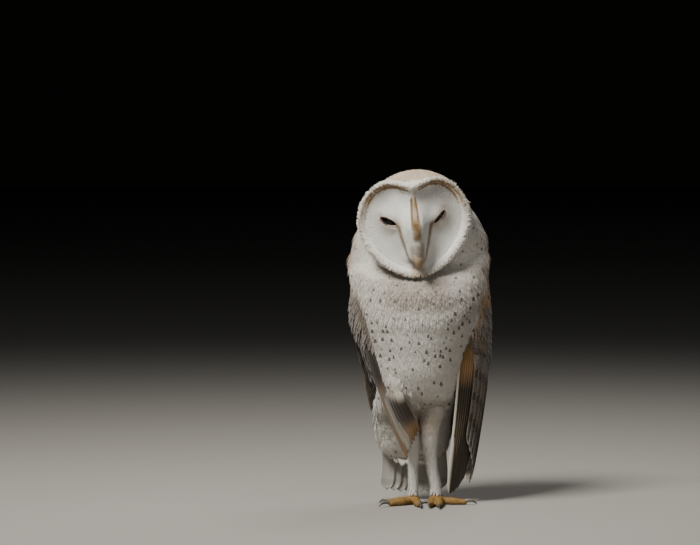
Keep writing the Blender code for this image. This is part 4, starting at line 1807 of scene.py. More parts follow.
class CoatTree(NodeKit):
    """The node tree that stands feathers on roots and makes them real."""

    def __init__(self, name: str, shapes: Sequence[Object], material: Material) -> None:
        """Builds the tree.

        Args:
            name: The tree's name.
            shapes: The feathers to choose from.
            material: What they are made of.
        """
        super().__init__(bpy.data.node_groups.new(name, "GeometryNodeTree"))
        face = self.tree.interface
        face.new_socket("Roots", in_out="INPUT", socket_type="NodeSocketGeometry")
        self.patch = face.new_socket("Bake Patch", in_out="INPUT", socket_type="NodeSocketFloat")
        self.seed = face.new_socket("Seed", in_out="INPUT", socket_type="NodeSocketInt")
        face.new_socket("Coat", in_out="OUTPUT", socket_type="NodeSocketGeometry")
        given = self.node("NodeGroupInput").outputs
        choice = self.node("GeometryNodeJoinGeometry")
        for shape in shapes:
            inputs = {"Object": shape, "As Instance": True}
            info = self.node("GeometryNodeObjectInfo", {"transform_space": "ORIGINAL"}, inputs)
            self.feed(choice.inputs[0], info.outputs["Geometry"])
        inputs = {4: 0, 5: len(shapes) - 1, "Seed": given["Seed"]}
        pick = self.node("FunctionNodeRandomValue", {"data_type": "INT"}, inputs)
        axes = {"primary_axis": "Z", "secondary_axis": "Y"}
        turn = self.node("FunctionNodeAxesToRotation", axes, {0: self.named("up"), 1: self.named("lie")})
        inputs = {
            "Points": given["Roots"], "Instance": choice.outputs[0], "Pick Instance": True,
            "Instance Index": pick.outputs[2], "Rotation": turn.outputs[0], "Scale": self.named("span"),
        }
        stand = self.node("GeometryNodeInstanceOnPoints", None, inputs)
        real = self.node("GeometryNodeRealizeInstances", None, {0: stand.outputs[0]})
        # Each tuft's own across and along, made small and moved to its seat on the bake map.
        middle = self.vectors("SUBTRACT", {0: self.named("vane"), 1: (0.5, 0.5, 0.0)})
        small = self.vectors("SCALE", {0: middle, "Scale": given["Bake Patch"]})
        spot = self.vectors("ADD", {0: self.named("seat"), 1: small})
        inputs = {"Name": "OFBake", "Geometry": real.outputs[0], "Value": spot}
        bake = self.node("GeometryNodeStoreNamedAttribute", {"data_type": "FLOAT2", "domain": "CORNER"}, inputs)
        paint = self.node("GeometryNodeSetMaterial", None, {0: bake.outputs[0], "Material": material})
        self.node("NodeGroupOutput", None, {0: paint.outputs[0]})

    def vectors(self, operation: str, inputs: dict) -> NodeSocket:
        """One Vector Math node."""
        return self.node("ShaderNodeVectorMath", {"operation": operation}, inputs).outputs[0]

    def named(self, name: str) -> NodeSocket:
        """Reads a vector stored on the points."""
        return self.node("GeometryNodeInputNamedAttribute", {"data_type": "FLOAT_VECTOR"}, {0: name}).outputs[0]

    def grow(self, roots: Object, seed: int) -> Object:
        """Covers the roots and leaves a plain mesh.

        Args:
            roots: The roots' object.
            seed: The seed of the choice of feathers.

        Returns:
            The coat.
        """
        modifier = roots.modifiers.new("coat", "NODES")
        modifier.node_group = self.tree
        modifier[self.patch.identifier] = BAKE_PATCH
        modifier[self.seed.identifier] = seed
        settle(roots)
        for name in ("lie", "span", "seat"):
            found = roots.data.attributes.get(name)
            if found:
                roots.data.attributes.remove(found)
        bpy.data.node_groups.remove(self.tree)
        return roots


@dataclass
class Coat:
    """One piece of plumage: rows of feathers of one kind over part of a surface."""

    name: str
    slot: str
    surface: Surface
    shape: TuftShape | VaneShape
    row_gap: Callable[[float], float]
    column_gap: Callable[[float], float]
    keep: Rule
    lie: Rule
    size: Rule
    marks: Callable[[Points], Marks]
    # How far the skin may be from the surface, in millimetres.
    reach: float = 1.6
    # How much of the skin's normal the shading takes.
    softness: float = 0.8
    # How far the feathers turn aside, and how uneven their width, length and lift are.
    sway: float = 0.06
    uneven: tuple = (0.08, 0.12, 0.04)
    variants: int = 4
    seed: int = 1

    def roots(self, skin: Skin, rng: Generator) -> Roots:
        """Stands the roots on the skin.

        Args:
            skin: The skin that they grow from.
            rng: The source of the slight unevenness.

        Returns:
            The roots.
        """
        points, seats = self.surface.roots(self.row_gap, self.column_gap, rng)
        inside = self.keep(points)
        points, seats = points[inside], seats[inside]
        spots, normals, kept = skin.snap(points, self.reach)
        seats = seats[kept]
        lies = along_surface(self.lie(spots), normals)
        aside = np.cross(normals, lies)
        lies = unit(lies + aside * rng.normal(0, self.sway, (len(spots), 1)))
        jitter = np.array(self.uneven) * rng.uniform(-1, 1, (len(spots), 3))
        sizes = self.size(spots) * (1 + jitter)
        return Roots(spots, normals, lies, sizes, seats, self.marks(spots))

    def build(self, skin: Skin, material: Material, *nodes: str) -> Object:
        """Grows the coat and dresses it.

        Args:
            skin: The skin that it grows from.
            material: Its finish.
            nodes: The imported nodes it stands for.

        Returns:
            The coat.
        """
        rng = np.random.default_rng(SEED + self.seed)
        shapes = [self.shape.build(f"{self.name}_{i}", rng) for i in range(self.variants)]
        roots = self.roots(skin, rng).object(self.name, rng)
        made = CoatTree(self.name, shapes, material).grow(roots, self.seed)
        for shape in shapes:
            bpy.data.objects.remove(shape)
        dress(made, material, self.slot, *nodes)
        even_shading(made, self.softness)
        return made


def everywhere(*values: float) -> Rule:
    """The same three numbers at every point: width, length and lift, or a direction."""
    return lambda points: np.tile(values, (len(points), 1)).astype(float)


def even(gap: float) -> Callable[[float], float]:
    """The same gap at every share of the way along."""
    return lambda share: gap


def hang(points: Points) -> Points:
    """Feathers that lie straight down, and back under the tail."""
    under = ease(-points[:, 2], -74, -50)[:, None]
    return np.tile((0.0, 0.12, -1.0), (len(points), 1)) + under * np.array((0, 0.6, 0))


def sweep_back(points: Points) -> Points:
    """Feathers that lie back over the crown and down the nape.

    Args:
        points: Places on the body's axes.

    Returns:
        A direction at each.
    """
    x, y, _ = face_points(points).T
    down = ease(y, 10, 55)[:, None]
    side = ease(np.abs(x), 20, 48)[:, None]
    return np.array((0, 1.0, -0.15)) * (1 - down) + np.array((0, 0.35, -1.0)) * (down + 0.7 * side)


def radiate(points: Points) -> Points:
    """Feathers that spread from each eye over the disc, and run down the ridge to the bill.

    Args:
        points: Places on the body's axes.

    Returns:
        A direction at each.
    """
    x, _, z = face_points(points).T
    side = np.where(x < 0, -1.0, 1.0)
    from_eye = np.stack([x - side * EYE_OUT, np.zeros(len(x)), z - EYE_UP + 1.5], 1)
    down = np.stack([side * 0.05, np.full(len(x), -0.1), np.full(len(x), -1.0)], 1)
    ridge = bell(x, smooth(RIDGE, z)[:, 1] * 1.25)[:, None]
    wanted = unit(from_eye) * (1 - ridge) + down * ridge
    return wanted @ HEAD_AXES.T


def spread_out(points: Points) -> Points:
    """Rim feathers that stand away from the middle of the face."""
    x, _, z = face_points(points).T
    return np.stack([x, np.full(len(x), 6.0), z], 1) @ HEAD_AXES.T


@dataclass
class BodyCoat:
    """Breast, belly, neck and mantle."""

    skin: Skin

    def keep_front(self, low: float, high: float) -> Rule:
        """The soft white plumage between two heights.

        Args:
            low: The lower height.
            high: The upper height.

        Returns:
            The rule that keeps it.
        """

        def inside(points: Points) -> Points:
            """The front, between the heights.

            Args:
                points: Places on the body's axes.

            Returns:
                Which of them are kept.
            """
            _, y, z = points.T
            front = y < np.interp(z, (60, 90, 120, 230, 300), (60, 60, 22, 24, 30))
            return front & (z >= low) & (z < high)

        return inside

    def keep_tuck(self, points: Points) -> Points:
        """Just above the place where the right wing's inner quills come out of the belly.

        Args:
            points: Places on the body's axes.

        Returns:
            Which of them are kept.
        """
        x, y, z = points.T
        line = np.interp(z, (104, 127), (-9, -25))
        return (np.abs(x - line - 3) < 6) & (z > 102) & (z < 131) & (y < 0)

    def keep_back(self, points: Points) -> Points:
        """The patterned plumage of the back."""
        _, y, z = points.T
        return y >= np.interp(z, (60, 90, 120, 230, 300), (60, 60, 20, 22, 28))

    def mantle_marks(self, points: Points) -> Marks:
        """Less gold than the nape, so that the grey veil shows."""
        marks = Markings().body(points)
        return {**marks, "gold": marks["gold"] * 0.55}

    def build(self, soft: Material, covert: Material) -> None:
        """Grows the body's coats.

        Args:
            soft: The soft finish.
            covert: The finish of the mantle.
        """
        surface = body_surface(-self.skin.body_coat)
        marks = Markings().body
        for name, low, high, reach, seed in (
            ("belly_coat", 40, 128, 1.6, 1),
            ("breast_coat", 128, 210, 1.6, 2),
            ("throat_coat", 210, 238, 1.6, 10),
            ("neck_coat", 238, 286, 2.8, 3),
        ):
            Coat(
                name, "neck" if name == "neck_coat" else "trunk", surface, TuftShape(),
                even(2.7), even(2.7), self.keep_front(low, high), hang,
                everywhere(4.6, 14.0, 2.0), marks, reach=reach, seed=seed,
            ).build(self.skin, soft)
        Coat(
            "flank_coat", "trunk", surface, TuftShape(blades=5, splay=0.6, blade_width=0.11, droop=0.6),
            even(3.2), even(3.2),
            lambda p: (p[:, 2] < 106) & (p[:, 2] > 52) & (np.abs(p[:, 0] + 3) > 16) & (p[:, 1] > -8),
            hang, everywhere(5.0, 14.0, 2.8), marks, softness=0.92, sway=0.3, uneven=(0.2, 0.25, 0.3), seed=12,
        ).build(self.skin, soft)
        Coat(
            "tuck_coat", "trunk", surface, TuftShape(splay=0.5),
            even(2.4), even(2.4), self.keep_tuck, hang,
            everywhere(5.0, 15.0, 5.2), marks, sway=0.22, uneven=(0.1, 0.2, 0.1), seed=14,
        ).build(self.skin, soft)
        Coat(
            "mantle_coat", "trunk", surface, VaneShape(), even(5.2), even(5.6),
            self.keep_back, hang, everywhere(10.5, 16.0, 2.4), self.mantle_marks, softness=0.6, seed=4,
        ).build(self.skin, covert)


@dataclass
class HeadCoat:
    """Crown, ruff and disc."""

    skin: Skin

    def keep_disc(self, points: Points) -> Points:
        """The disc up to its rim, clear of the bill and of the open eyes.

        Args:
            points: Places on the body's axes.

        Returns:
            Which of them are kept.
        """
        x, _, z = face_points(points).T
        clear = np.ones(len(points), bool)
        for side in Side:
            turn = Eye(side).slant()
            dx, dz = x - EYE_OUT * side.value, z - EYE_UP
            u = dx * math.cos(turn) + dz * math.sin(turn)
            w = -dx * math.sin(turn) + dz * math.cos(turn)
            clear &= (u / (EYE_SLIT_LENGTH / 2 + 0.9)) ** 2 + (w / 3.2) ** 2 > 1
        bill = (np.abs(x) < 5.2) & (z < -26) & (z > -37)
        return (face_share(x, z) < DISC_END) & clear & ~bill

    def disc_size(self, points: Points) -> Points:
        """Shortest beside the eyes.

        Args:
            points: Places on the body's axes.

        Returns:
            Width, length and lift at each.
        """
        x, _, z = face_points(points).T
        from_eye = np.hypot(np.abs(x) - EYE_OUT, z - EYE_UP)
        grow = (0.55 + 0.45 * ease(from_eye, 6, 16))[:, None]
        return np.array((1.9, 7.5, 0.9)) * np.concatenate([grow, grow, grow**0.5], 1)

    def build(self, soft: Material, scale: Material) -> None:
        """Grows the head's coats: soft plumage, and the scale-like feathers of the rim.

        Args:
            soft: The soft finish.
            scale: The finish of the rim.
        """
        face = face_surface(-self.skin.face_coat)
        back = head_back_surface(-self.skin.head_coat)
        marks = Markings()
        Coat(
            "disc_coat", "head", face, TuftShape(blades=3, blade_width=0.3, splay=0.2),
            even(1.45), even(1.5), self.keep_disc, radiate,
            self.disc_size, marks.face, sway=0.07, seed=5,
        ).build(self.skin, soft)
        Coat(
            "ruff_coat", "head", face, VaneShape(columns=2, rows=4, camber=0.24, ragged=0.05, end=0.42),
            even(1.15), even(1.5), self.keep_ruff, spread_out,
            everywhere(1.9, 5.0, 0.6), self.ruff_marks, reach=2.5, softness=0.75, sway=0.12, seed=6,
        ).build(self.skin, scale)
        Coat(
            "rim_coat", "head", back, VaneShape(columns=2, rows=4, camber=0.24, ragged=0.05, end=0.42),
            even(1.3), even(1.6), self.keep_rim, spread_out,
            everywhere(2.1, 5.6, 0.65), self.rim_marks, reach=3.0, softness=0.75, sway=0.12, seed=7,
        ).build(self.skin, scale)
        Coat(
            "streak_coat", "head", face, TuftShape(blades=2, blade_width=0.3, splay=0.2),
            even(0.75), even(0.75), self.keep_streak, radiate,
            everywhere(1.2, 4.6, 1.1), self.streak_marks, reach=2.5, sway=0.12, seed=13,
        ).build(self.skin, soft)
        Coat(
            "bristle_coat", "head", face, TuftShape(blades=4, blade_width=0.12, splay=0.3),
            even(1.5), even(1.3), self.keep_bristles, radiate,
            everywhere(2.2, 10.5, 1.3), marks.face, reach=2.5, sway=0.12, seed=9,
        ).build(self.skin, soft)
        Coat(
            "crown_coat", "head", back, TuftShape(), even(2.5), even(2.5),
            lambda p: face_points(p)[:, 1] > np.interp(face_points(p)[:, 2], (8, 36), (6, 2)), sweep_back,
            everywhere(4.0, 9.0, 2.0), marks.head, reach=5.0, seed=8,
        ).build(self.skin, soft)

    def keep_ruff(self, points: Points) -> Points:
        """The raised border of the disc."""
        x, _, z = face_points(points).T
        return face_share(x, z) > BORDER_START

    def keep_rim(self, points: Points) -> Points:
        """The outside of the border, narrow over the brow."""
        _, y, z = face_points(points).T
        return y < np.interp(z, (8, 36), (15, 5))

    def keep_streak(self, points: Points) -> Points:
        """Both sides of the streak that runs down the ridge, and its foot.

        Args:
            points: Places on the body's axes.

        Returns:
            Which of them are kept.
        """
        x, _, z = face_points(points).T
        side = np.abs(np.abs(x) - np.interp(z, (-2, 6, 16, 32), (0.6, 2.2, 2.4, 1.5))) < 0.55
        return (side | ((np.abs(x) < 2.0) & (z < 8))) & (z > -4) & (z < 32)

    def streak_marks(self, points: Points) -> Marks:
        """Brown, darker towards the foot.

        Args:
            points: Places on the body's axes.

        Returns:
            The numbers, by name.
        """
        foot = 1 - ease(face_points(points)[:, 2], 2, 24)
        marks = Markings().face(points)
        marks["gold"] = np.full(len(points), 0.95)
        marks["dark"] = 0.30 + 0.40 * foot
        return marks

    def keep_bristles(self, points: Points) -> Points:
        """Over and beside the root of the bill."""
        x, _, z = face_points(points).T
        return (z > -22) & (z < -8) & (np.abs(x) < 8.0)

    def ruff_marks(self, points: Points) -> Marks:
        """The face's markings with a warmer, creamy ground.

        Args:
            points: Places on the body's axes.

        Returns:
            The numbers, by name.
        """
        marks = Markings().face(points)
        low = ease(-face_points(points)[:, 2], -10, 25)
        marks["gold"] = np.clip(marks["gold"] + 0.12 + 0.06 * low, 0, 1)
        marks["grey"] = marks["grey"] + 0.06 + 0.12 * low
        return marks

    def rim_marks(self, points: Points) -> Marks:
        """Pale rim, frayed and dark along its lower outer edge.

        Args:
            points: Places on the body's axes.

        Returns:
            The numbers, by name.
        """
        _, y, z = face_points(points).T
        marks = Markings().head(points)
        low = ease(-z, 0, 22) * ease(y, 7, 12)
        marks["grey"] = marks["grey"] * 0.25
        marks["gold"] = marks["gold"] * 0.5 + 0.08
        marks["dots"] = np.zeros(len(points))
        marks["dark"] = 0.5 * low
        return marks


@dataclass
class LegCoat:
    """Short plumage down to the toes."""

    skin: Skin
    side: Side

    def build(self, soft: Material) -> None:
        """Grows the leg's coat.

        Args:
            soft: Its finish.
        """
        name = f"leg_{self.side.word}"

        def size(points: Points) -> Points:
            """Shorter towards the toes."""
            grow = 0.5 + 0.5 * ease(points[:, 2], 30, 84)
            return np.array((3.4, 8.5, 0.0)) * grow[:, None] + np.array((0.0, 0.0, 2.1))

        Coat(
            f"{name}_coat", name, leg_surface(self.side, -self.skin.leg_coat), TuftShape(blades=4),
            lambda share: 1.7 + 0.8 * share, lambda share: 1.7 + 0.6 * share,
            lambda p: p[:, 2] > 12, everywhere(0.0, 0.0, -1.0), size,
            Markings().body, reach=1.2, sway=0.12, seed=20 + self.side.value,
        ).build(self.skin, soft)


@dataclass
class WingCoat:
    """Coverts over the folded arm of one wing."""

    skin: Skin
    side: Side

    def marks(self, points: Points) -> Marks:
        """Golden at the shoulder and along the front edge.

        Args:
            points: Places on the body's axes.

        Returns:
            The numbers, by name.
        """
        _, y, z = points.T
        ground, shoulder, pale = (0.26, 1.0, 0.4) if self.side is Side.LEFT else (0.14, 0.35, 0.16)
        patch = bell(z - 212, 9) * ease(-y, -26, -8) * shoulder
        gold = ground + 0.8 * patch + 0.15 * ease(-y, 2, 16) * ease(z, 150, 190) + 0.2 * ease(y, 10, 40)
        buff = ease(z, 214, 250) * (1 - ease(y, 2, 22)) * (1 - patch)
        return {"gold": np.clip(gold, 0, 1), "buff": buff, "fringe": pale * ease(-y, -20, 4) * (1 - buff)}

    def size(self, points: Points) -> Points:
        """Small at the shoulder and long at the greater coverts.

        Args:
            points: Places on the body's axes.

        Returns:
            Width, length and lift at each.
        """
        grow = ease(-points[:, 2], -240, -140)[:, None]
        size = np.array((5.5, 10.5, 1.9)) * (1 - grow) + np.array((10.0, 25.0, 3.2)) * grow
        front = ease(-points[:, 1], -16, 8)[:, None]
        top = ease(points[:, 2], 196, 214)[:, None] * (1 - front)
        return size * (1 + front * np.array((-0.3, 0.1, -0.2)) - top * np.array((0.15, 0.35, 0.5)))

    def build(self, covert: Material) -> None:
        """Grows the coverts."""
        name = f"wing_{self.side.word}"
        Coat(
            f"{name}_coverts", name, wing_surface(self.side, -self.skin.wing_coat), VaneShape(),
            lambda share: 7.0 - 3.2 * share, lambda share: 6.4 - 2.4 * share,
            lambda p: p[:, 0] * self.side.value > COVERT_INNER_SIDE, everywhere(0.0, 0.16, -1.0),
            self.size, self.marks, reach=1.6, softness=0.55, seed=30 + self.side.value,
        ).build(self.skin, covert)


# ---------------------------------------------------------------- quills


@dataclass
class QuillFan:
    """A row of flight feathers, each with its own shaft, lying over the last."""

    node: str
    count: int
    # Root, tip and facing of lines from one edge to the other.
    keys: tuple
    width: float
    # Gold, ash, soot and pale shares from a feather's place in the row, across it and along it.
    tone: Callable[[float, Points, Points], tuple]
    # How far the inner feathers are buried before they come out below the breast.
    buried: float = 0.0
    # How far each feather lies above the last, how deep its root is sunk, and how far it bows.
    lift: float = 0.42
    sunk: float = 3.0
    bow: float = 3.0
    # How far the edges dip near the root, which rounds the feather's start.
    arch: float = 0.0
    thickness: float = 0.45
    # The share of its length where the tip starts to narrow.
    blunt: float = 0.8
    rows: int = 22
    columns: int = 8

    def feather(self, line: Points, index: int, rng: Generator) -> tuple[Points, list, Points]:
        """One feather.

        Args:
            line: Its root, tip and facing.
            index: Its place in the row.
            rng: The source of the slight unevenness.

        Returns:
            Its points on the body's axes, its faces, and its across and along.
        """
        root, tip, facing = line[:3], line[3:6], np.array((*line[6:8], 0.0))
        along = unit(tip - root)
        out = along_surface(facing, along)
        across = np.cross(along, out)
        place = index / max(self.count - 1, 1)
        slip = 0.1 * place
        length = np.linalg.norm(tip - root) * rng.uniform(0.985, 1.0)
        run = 1 - (1 - np.linspace(0, 1, self.rows)) ** 1.3
        t, u = (part[..., None] for part in np.meshgrid(run, np.linspace(-1, 1, self.columns + 1), indexing="ij"))
        end = np.maximum(0.0, (t - self.blunt) / (1 - self.blunt))
        half = self.width / 2 * np.minimum(1.0, 0.5 + 2.2 * t) * np.sqrt(np.maximum(0.015, 1 - end**2.2))
        rise = self.bow * 4 * t * (1 - t) + self.lift * index - self.sunk * (1 - ease(t, 0, 0.2))
        rise -= self.buried * ease(place, 0.05, 0.3) * (1 - ease(t, 0.36 - slip, 0.56 - slip))
        rise -= 0.06 * self.width * (u * half * 2 / self.width) ** 2
        rise -= self.arch * u * u * (1 - ease(t, 0.08, 0.34))
        lag = 0.8 * u**2 * t * self.width / 12
        spine = 0.35 * bell(u + 0.28, 0.1) * (1 - 0.6 * t)
        thick = self.thickness * (1 - 0.5 * t) * (0.4 + 0.6 * (1 - u * u))
        spot = root + along * (t * length - lag) + across * u * half + out * rise
        top, under = (spot + out * spine).reshape(-1, 3), (spot - out * thick).reshape(-1, 3)
        vane = np.concatenate([(u + 1) / 2, t], -1).reshape(-1, 2)
        count, width = len(top), self.columns + 1
        faces = grid_faces(self.rows, width, False)
        faces += [tuple(count + i for i in reversed(face)) for face in faces]
        rim = [*range(width), *(r * width + width - 1 for r in range(1, self.rows))]
        rim += [(self.rows - 1) * width + i for i in range(width - 2, -1, -1)]
        rim += [r * width for r in range(self.rows - 2, 0, -1)]
        for here, then in zip(rim, rim[1:] + rim[:1]):
            faces.append((here, here + count, then + count, then))
        return np.concatenate([top, under]), faces, np.concatenate([vane, vane])

    @property
    def name(self) -> str:
        """The piece's name, from the node it stands for."""
        return f"quills_{self.node}"

    def build(self, material: Material) -> Object:
        """Makes the row of feathers and dresses it.

        Args:
            material: Its finish.

        Returns:
            The row.
        """
        rng = np.random.default_rng(SEED + len(self.name) + self.count)
        rows = [(i, *root, *tip, *facing) for i, (root, tip, facing) in enumerate(self.keys)]
        places = (np.arange(self.count) + 0.5) / self.count * (len(self.keys) - 1)
        points, faces, vanes, hues, tones, bake = [], [], [], [], [], []
        for index, line in enumerate(smooth(rows, places)):
            made, around, vane = self.feather(line, index, rng)
            first = sum(len(p) for p in points)
            faces += [tuple(first + i for i in face) for face in around]
            points.append(made)
            vanes.append(vane)
            hues.append(np.full(len(made), rng.uniform(0, 1)))
            tone = self.tone(index / max(self.count - 1, 1), vane[:, 0], vane[:, 1])
            tones.append(np.stack([np.clip(part + 0 * vane[:, 0], 0, 1) for part in tone], 1))
            half = np.repeat((0.0, 0.5), len(made) // 2)
            strip = (index + 0.02 + 0.96 * (vane[:, 0] * 0.48 + half)) / self.count
            bake.append(np.stack([strip, 0.004 + 0.992 * vane[:, 1]], 1))
        obj = mesh_object(self.name, placed(np.concatenate(points)), faces)
        store(obj.data, "vane", np.concatenate(vanes), "FLOAT2")
        store(obj.data, "hue", np.concatenate(hues))
        for name, values in zip(("gilt", "ashy", "sooty", "pale"), np.concatenate(tones).T):
            store(obj.data, name, values)
        layer = obj.data.uv_layers.new(name="OFBake")
        corners = read(obj.data.loops, "vertex_index")
        layer.uv.foreach_set("vector", np.concatenate(bake)[corners].astype(np.float32).ravel())
        return dress(obj, material, self.node, self.node)


def primary_left_tone(place: float, across: Points, along: Points) -> tuple:
    """Gold near the root, then a dark patch; a pale line down the leading feather.

    Args:
        place: The feather's place in the row.
        across: Places across it.
        along: Places along it.

    Returns:
        Gold, ash, soot and pale shares.
    """
    gilt = (1 - ease(along, 0.25, 0.36)) * (0.95 - 0.3 * place)
    sooty = 0.9 * ease(along, 0.26, 0.38) * (1 - 0.6 * ease(along, 0.42, 0.58)) + 0.2 * place
    pale = (place < 0.01) * ease(across, 0.58, 0.70)
    return gilt, 0.15 * ease(along, 0.6, 1), np.clip(sooty, 0, 0.9), pale


def primary_right_tone(place: float, across: Points, along: Points) -> tuple:
    """Dark at the outer edge, golden brown with a dark blotch on the inner feathers.

    Args:
        place: The feather's place in the row.
        across: Not used.
        along: Places along it.

    Returns:
        Gold, ash, soot and pale shares.
    """
    tip = ease(along, 0.72, 0.88) * ease(place, 0.35, 0.65)
    outer, slip = 1 - ease(place, 0.02, 0.16), 0.1 * place
    gilt = 0.6 * tip + 0.6 * ease(along, 0.4, 0.5) * outer
    blotch = between(along, 0.38 - slip, 0.60 - slip, 0.66, 0.86) * ease(place, 0.25, 0.45)
    sooty = 0.85 * (1 - ease(along, 0.34, 0.46)) * (1 - ease(place, 0.1, 0.3)) + 0.9 * blotch
    sooty = sooty + 0.3 * outer + 0.3 * tip
    root = 0.5 * ease(place, 0.2, 0.45) * (1 - ease(along, 0.36 - slip, 0.56 - slip))
    pale = np.maximum(0.28 * bell(place - 0.32, 0.16) * ease(along, 0.42, 0.55), root)
    return gilt, 0.1, np.clip(sooty * (1 - 0.6 * pale), 0, 0.95), pale


def secondary_tone(place: float, across: Points, along: Points) -> tuple:
    """Grey and speckled in front, golden and barred towards the back, with white tips.

    Args:
        place: The feather's place in the row.
        across: Places across it.
        along: Places along it.

    Returns:
        Gold, ash, soot and pale shares.
    """
    ash = np.clip(0.95 - 1.0 * place + 0.5 * ease(along, 0.72, 1.0) + 0.7 * (1 - ease(along, 0.12, 0.34)), 0.12, 1)
    rim = np.maximum(ease(along, 0.945, 0.975), 0.6 * ease(across, 0.92, 0.98) * ease(along, 0.78, 0.92))
    return 0.85 * (1 - ash), ash, 0.12, 0.85 * rim


def tail_tone(place: float, across: Points, along: Points) -> tuple:
    """Dusky all over and more so towards the root: painted shade where the tail hangs under the body and behind the
    legs.
    """
    return 0.0, 0.30 * (1 - ease(along, 0.6, 1.0)) + 0.12, 0.0, 0.0


def quill_fans() -> list[QuillFan]:
    """Every row of flight feathers."""
    return [
        QuillFan(
            "primaries_left", 10,
            (
                ((44, -19, 170), (31, 7, 9), (0.5, -0.87)),
                ((54, -15, 168), (37, 14, 12), (0.72, -0.7)),
                ((62, -6, 166), (44, 22, 24), (0.9, -0.43)),
            ),
            9.5, primary_left_tone, lift=0.3,
        ),
        QuillFan(
            "secondaries_left", 14,
            (
                ((60, -14, 166), (49, 3, 60), (0.75, -0.66)),
                ((71, 4, 164), (54, 14, 36), (0.97, -0.2)),
                ((70, 30, 162), (51, 28, 17), (0.85, 0.5)),
                ((46, 50, 172), (40, 42, 50), (0.45, 0.9)),
                ((9, 55, 184), (12, 48, 88), (0.1, 1.0)),
            ),
            13.0, secondary_tone, lift=-0.12, sunk=6.5, bow=2.4, arch=5.0,
        ),
        QuillFan(
            "primaries_right", 8,
            (
                ((-55, -8, 172), (-10, -12, 46), (-0.75, -0.66)),
                ((-41, -20, 146), (-5, -18, 58), (-0.6, -0.8)),
                ((-25, -34, 124), (3, -21, 75), (-0.3, -0.95)),
            ),
            8.0, primary_right_tone, lift=0.2, buried=5.0,
        ),
        QuillFan(
            "secondaries_right", 13,
            (
                ((-61, -4, 180), (-38, 6, 112), (-0.97, -0.25)),
                ((-60, 28, 178), (-38, 30, 94), (-0.85, 0.5)),
                ((-42, 48, 182), (-36, 44, 78), (-0.45, 0.9)),
                ((-7, 55, 188), (-12, 48, 90), (-0.1, 1.0)),
            ),
            15.0, secondary_tone, lift=0.1, sunk=6.5, bow=2.4, arch=5.0,
        ),
    ]


def tail_fan() -> QuillFan:
    """The tail's feathers."""
    return QuillFan(
        "tail", 9,
        (
            ((-22, 34, 116), (-32, 33, 11), (-0.35, 0.94)),
            ((-2, 41, 120), (-2, 42, 6), (0.0, 1.0)),
            ((18, 34, 116), (28, 33, 11), (0.35, 0.94)),
        ),
        15.0, tail_tone, lift=0.12, blunt=0.9,
    )


# ---------------------------------------------------------------- stage


@dataclass
class Stage:
    """Floor, lights, world and camera, in metres and watts."""

    distance: float = 3.0
    elevation: float = 3.0
    frame_width: float = 0.665
    sensor: float = 36.0
    aim: tuple = (-0.0678, -0.03, 0.2256)
    # What the lamps are turned to.
    breast: tuple = (0, 0, 0.17)
    # The floor's own pale colour near the owl, and the near-black it fades to far off: painted falloff of the lamps'
    # light.
    near_paper: Colour = (0.28, 0.26, 0.235)
    far_paper: Colour = (0.008, 0.0075, 0.006)
    world: tuple = (1.0, 0.96, 0.74, 1)
    world_strength: float = 0.0018
    # Each lamp's name, place, width, power and colour.
    lamps: tuple = (
        ("key", (-1.08, -1.27, 2.2), 0.8, 132.0, (1.0, 0.985, 0.94)),
        ("fill", (0.9, -2.3, 0.95), 1.6, 9.0, (0.95, 0.97, 1.0)),
        ("rim", (0.6, 0.9, 1.5), 0.9, 10.0, (1.0, 1.0, 1.0)),
    )

    def floor(self) -> None:
        """A pale round floor that darkens into the distance, a painted falloff of the lamps' light."""
        angle = turns(64)
        rows = [
            np.stack([reach * np.cos(angle), reach * np.sin(angle), 0 * angle], 1)
            for reach in (0.0, 0.3, 0.7, 1.5, 3.0, 6.0, 12.0)
        ]
        made = mesh_object("studio_floor", np.array(rows), grid_faces(len(rows), len(angle), True))
        welded(made, 0.0001)
        kit = ShaderKit("studio_paper")
        away = kit.node("ShaderNodeVectorMath", {"operation": "LENGTH"}, {0: kit.place()})
        far = Term(kit, away.outputs["Value"]).step(0.25, 2.4)
        colour = kit.mix(self.near_paper, self.far_paper, far**0.6)
        made.data.materials.append(kit.finish(colour, 0.9 + 0.05 * kit.noise(30.0)))
        made.data.shade_smooth()

    def light(self, name: str, place: Sequence[float], size: float, power: float, colour: Colour) -> None:
        """One soft lamp aimed at the owl.

        Args:
            name: Its name.
            place: Where it hangs.
            size: Its width.
            power: Its power.
            colour: Its colour.
        """
        lamp = bpy.data.lights.new(name, "AREA")
        lamp.energy, lamp.size, lamp.color = power, size, colour
        made = linked(name, lamp)
        made.location = place
        aim = Vector(self.breast) - Vector(place)
        made.rotation_euler = aim.to_track_quat("-Z", "Y").to_euler()
        made.visible_camera = False

    def camera(self) -> None:
        """The camera, level with the breast and looking along +Y."""
        lens = bpy.data.cameras.new("camera")
        lens.sensor_width = self.sensor
        lens.lens = self.sensor * self.distance / self.frame_width
        made = linked("camera", lens)
        rise = math.radians(self.elevation)
        back = Vector((0, -math.cos(rise), math.sin(rise))) * self.distance
        made.location = Vector(self.aim) + back
        made.rotation_euler = (math.pi / 2 - rise, 0, 0)
        bpy.context.scene.camera = made

    def build(self) -> None:
        """Sets the stage."""
        self.floor()
        for lamp in self.lamps:
            self.light(*lamp)
        world = bpy.data.worlds.new("studio")
        world.use_nodes = True
        sky = world.node_tree.nodes["Background"].inputs
        sky["Color"].default_value, sky["Strength"].default_value = self.world, self.world_strength
        bpy.context.scene.world = world
        self.camera()


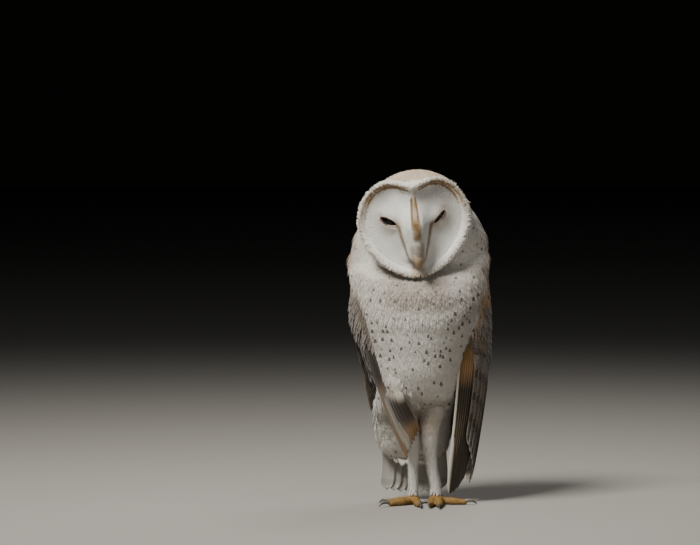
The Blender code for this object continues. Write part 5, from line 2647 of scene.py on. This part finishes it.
def main() -> None:
    """Builds the owl in order: skin, eyes and horn, plumage, quills, then the stage."""
    logging.basicConfig(level=logging.INFO, format="%(name)s: %(message)s")
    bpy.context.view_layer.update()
    skin = Skin()
    surface = skin.build()
    soft = FeatherFinish("soft_feather").build()
    covert = CovertFinish("covert_feather").build()
    flesh = ("head", "neck", "trunk", "wing_left", "wing_right", "leg_left", "leg_right", "foot_left", "foot_right")
    dress(surface, SkinFinish("skin").build(), "trunk", *flesh)
    eye, lid = EyeFinish("wet_eye").build(), LidFinish("lid_rim").build()
    for side in Side:
        Eye(side).build(eye, lid)
    Bill().build(HornFinish("bill_horn", (0.36, 0.28, 0.17), (0.26, 0.155, 0.085)).build())
    talon = HornFinish("talon_horn", (0.16, 0.13, 0.11), (0.035, 0.03, 0.028), roughness=0.28).build()
    for side in Side:
        for name in TOES[side.word]:
            Talon(Toe(side, name)).build(talon)
    BodyCoat(skin).build(soft, covert)
    # The rim's feathers, with stronger random tone and deeper painted shade at their roots.
    scale = FeatherFinish("rim_feather", contrast=0.34, depth=0.24).build()
    HeadCoat(skin).build(soft, scale)
    for side in Side:
        LegCoat(skin, side).build(soft)
        WingCoat(skin, side).build(covert)
    barred = QuillFinish(
        "wing_quill", web=(0.13, 0.085, 0.048), gold=(0.36, 0.19, 0.065), ash=(0.22, 0.195, 0.17),
        soot=(0.020, 0.014, 0.010), rim=(0.16, 0.13, 0.095), shaft=(0.16, 0.12, 0.08),
    ).build()
    streaked = QuillFinish(
        "primary_quill", web=(0.055, 0.035, 0.02), gold=(0.30, 0.145, 0.038), soot=(0.014, 0.009, 0.005),
        rim=(0.17, 0.13, 0.085), shaft=(0.15, 0.10, 0.06), bar_depth=0.4,
    ).build()
    for fan in quill_fans():
        fan.build(streaked if "primaries" in fan.name else barred)
    pale = QuillFinish(
        "tail_quill", web=(0.48, 0.455, 0.415), soot=(0.30, 0.27, 0.25), rim=(0.66, 0.64, 0.60),
        shaft=(0.40, 0.35, 0.28), bars=4.0, bar_share=0.2, bar_depth=0.5,
    ).build()
    tail_fan().build(pale)
    Stage().build()


if __name__ == "__main__":
    main()
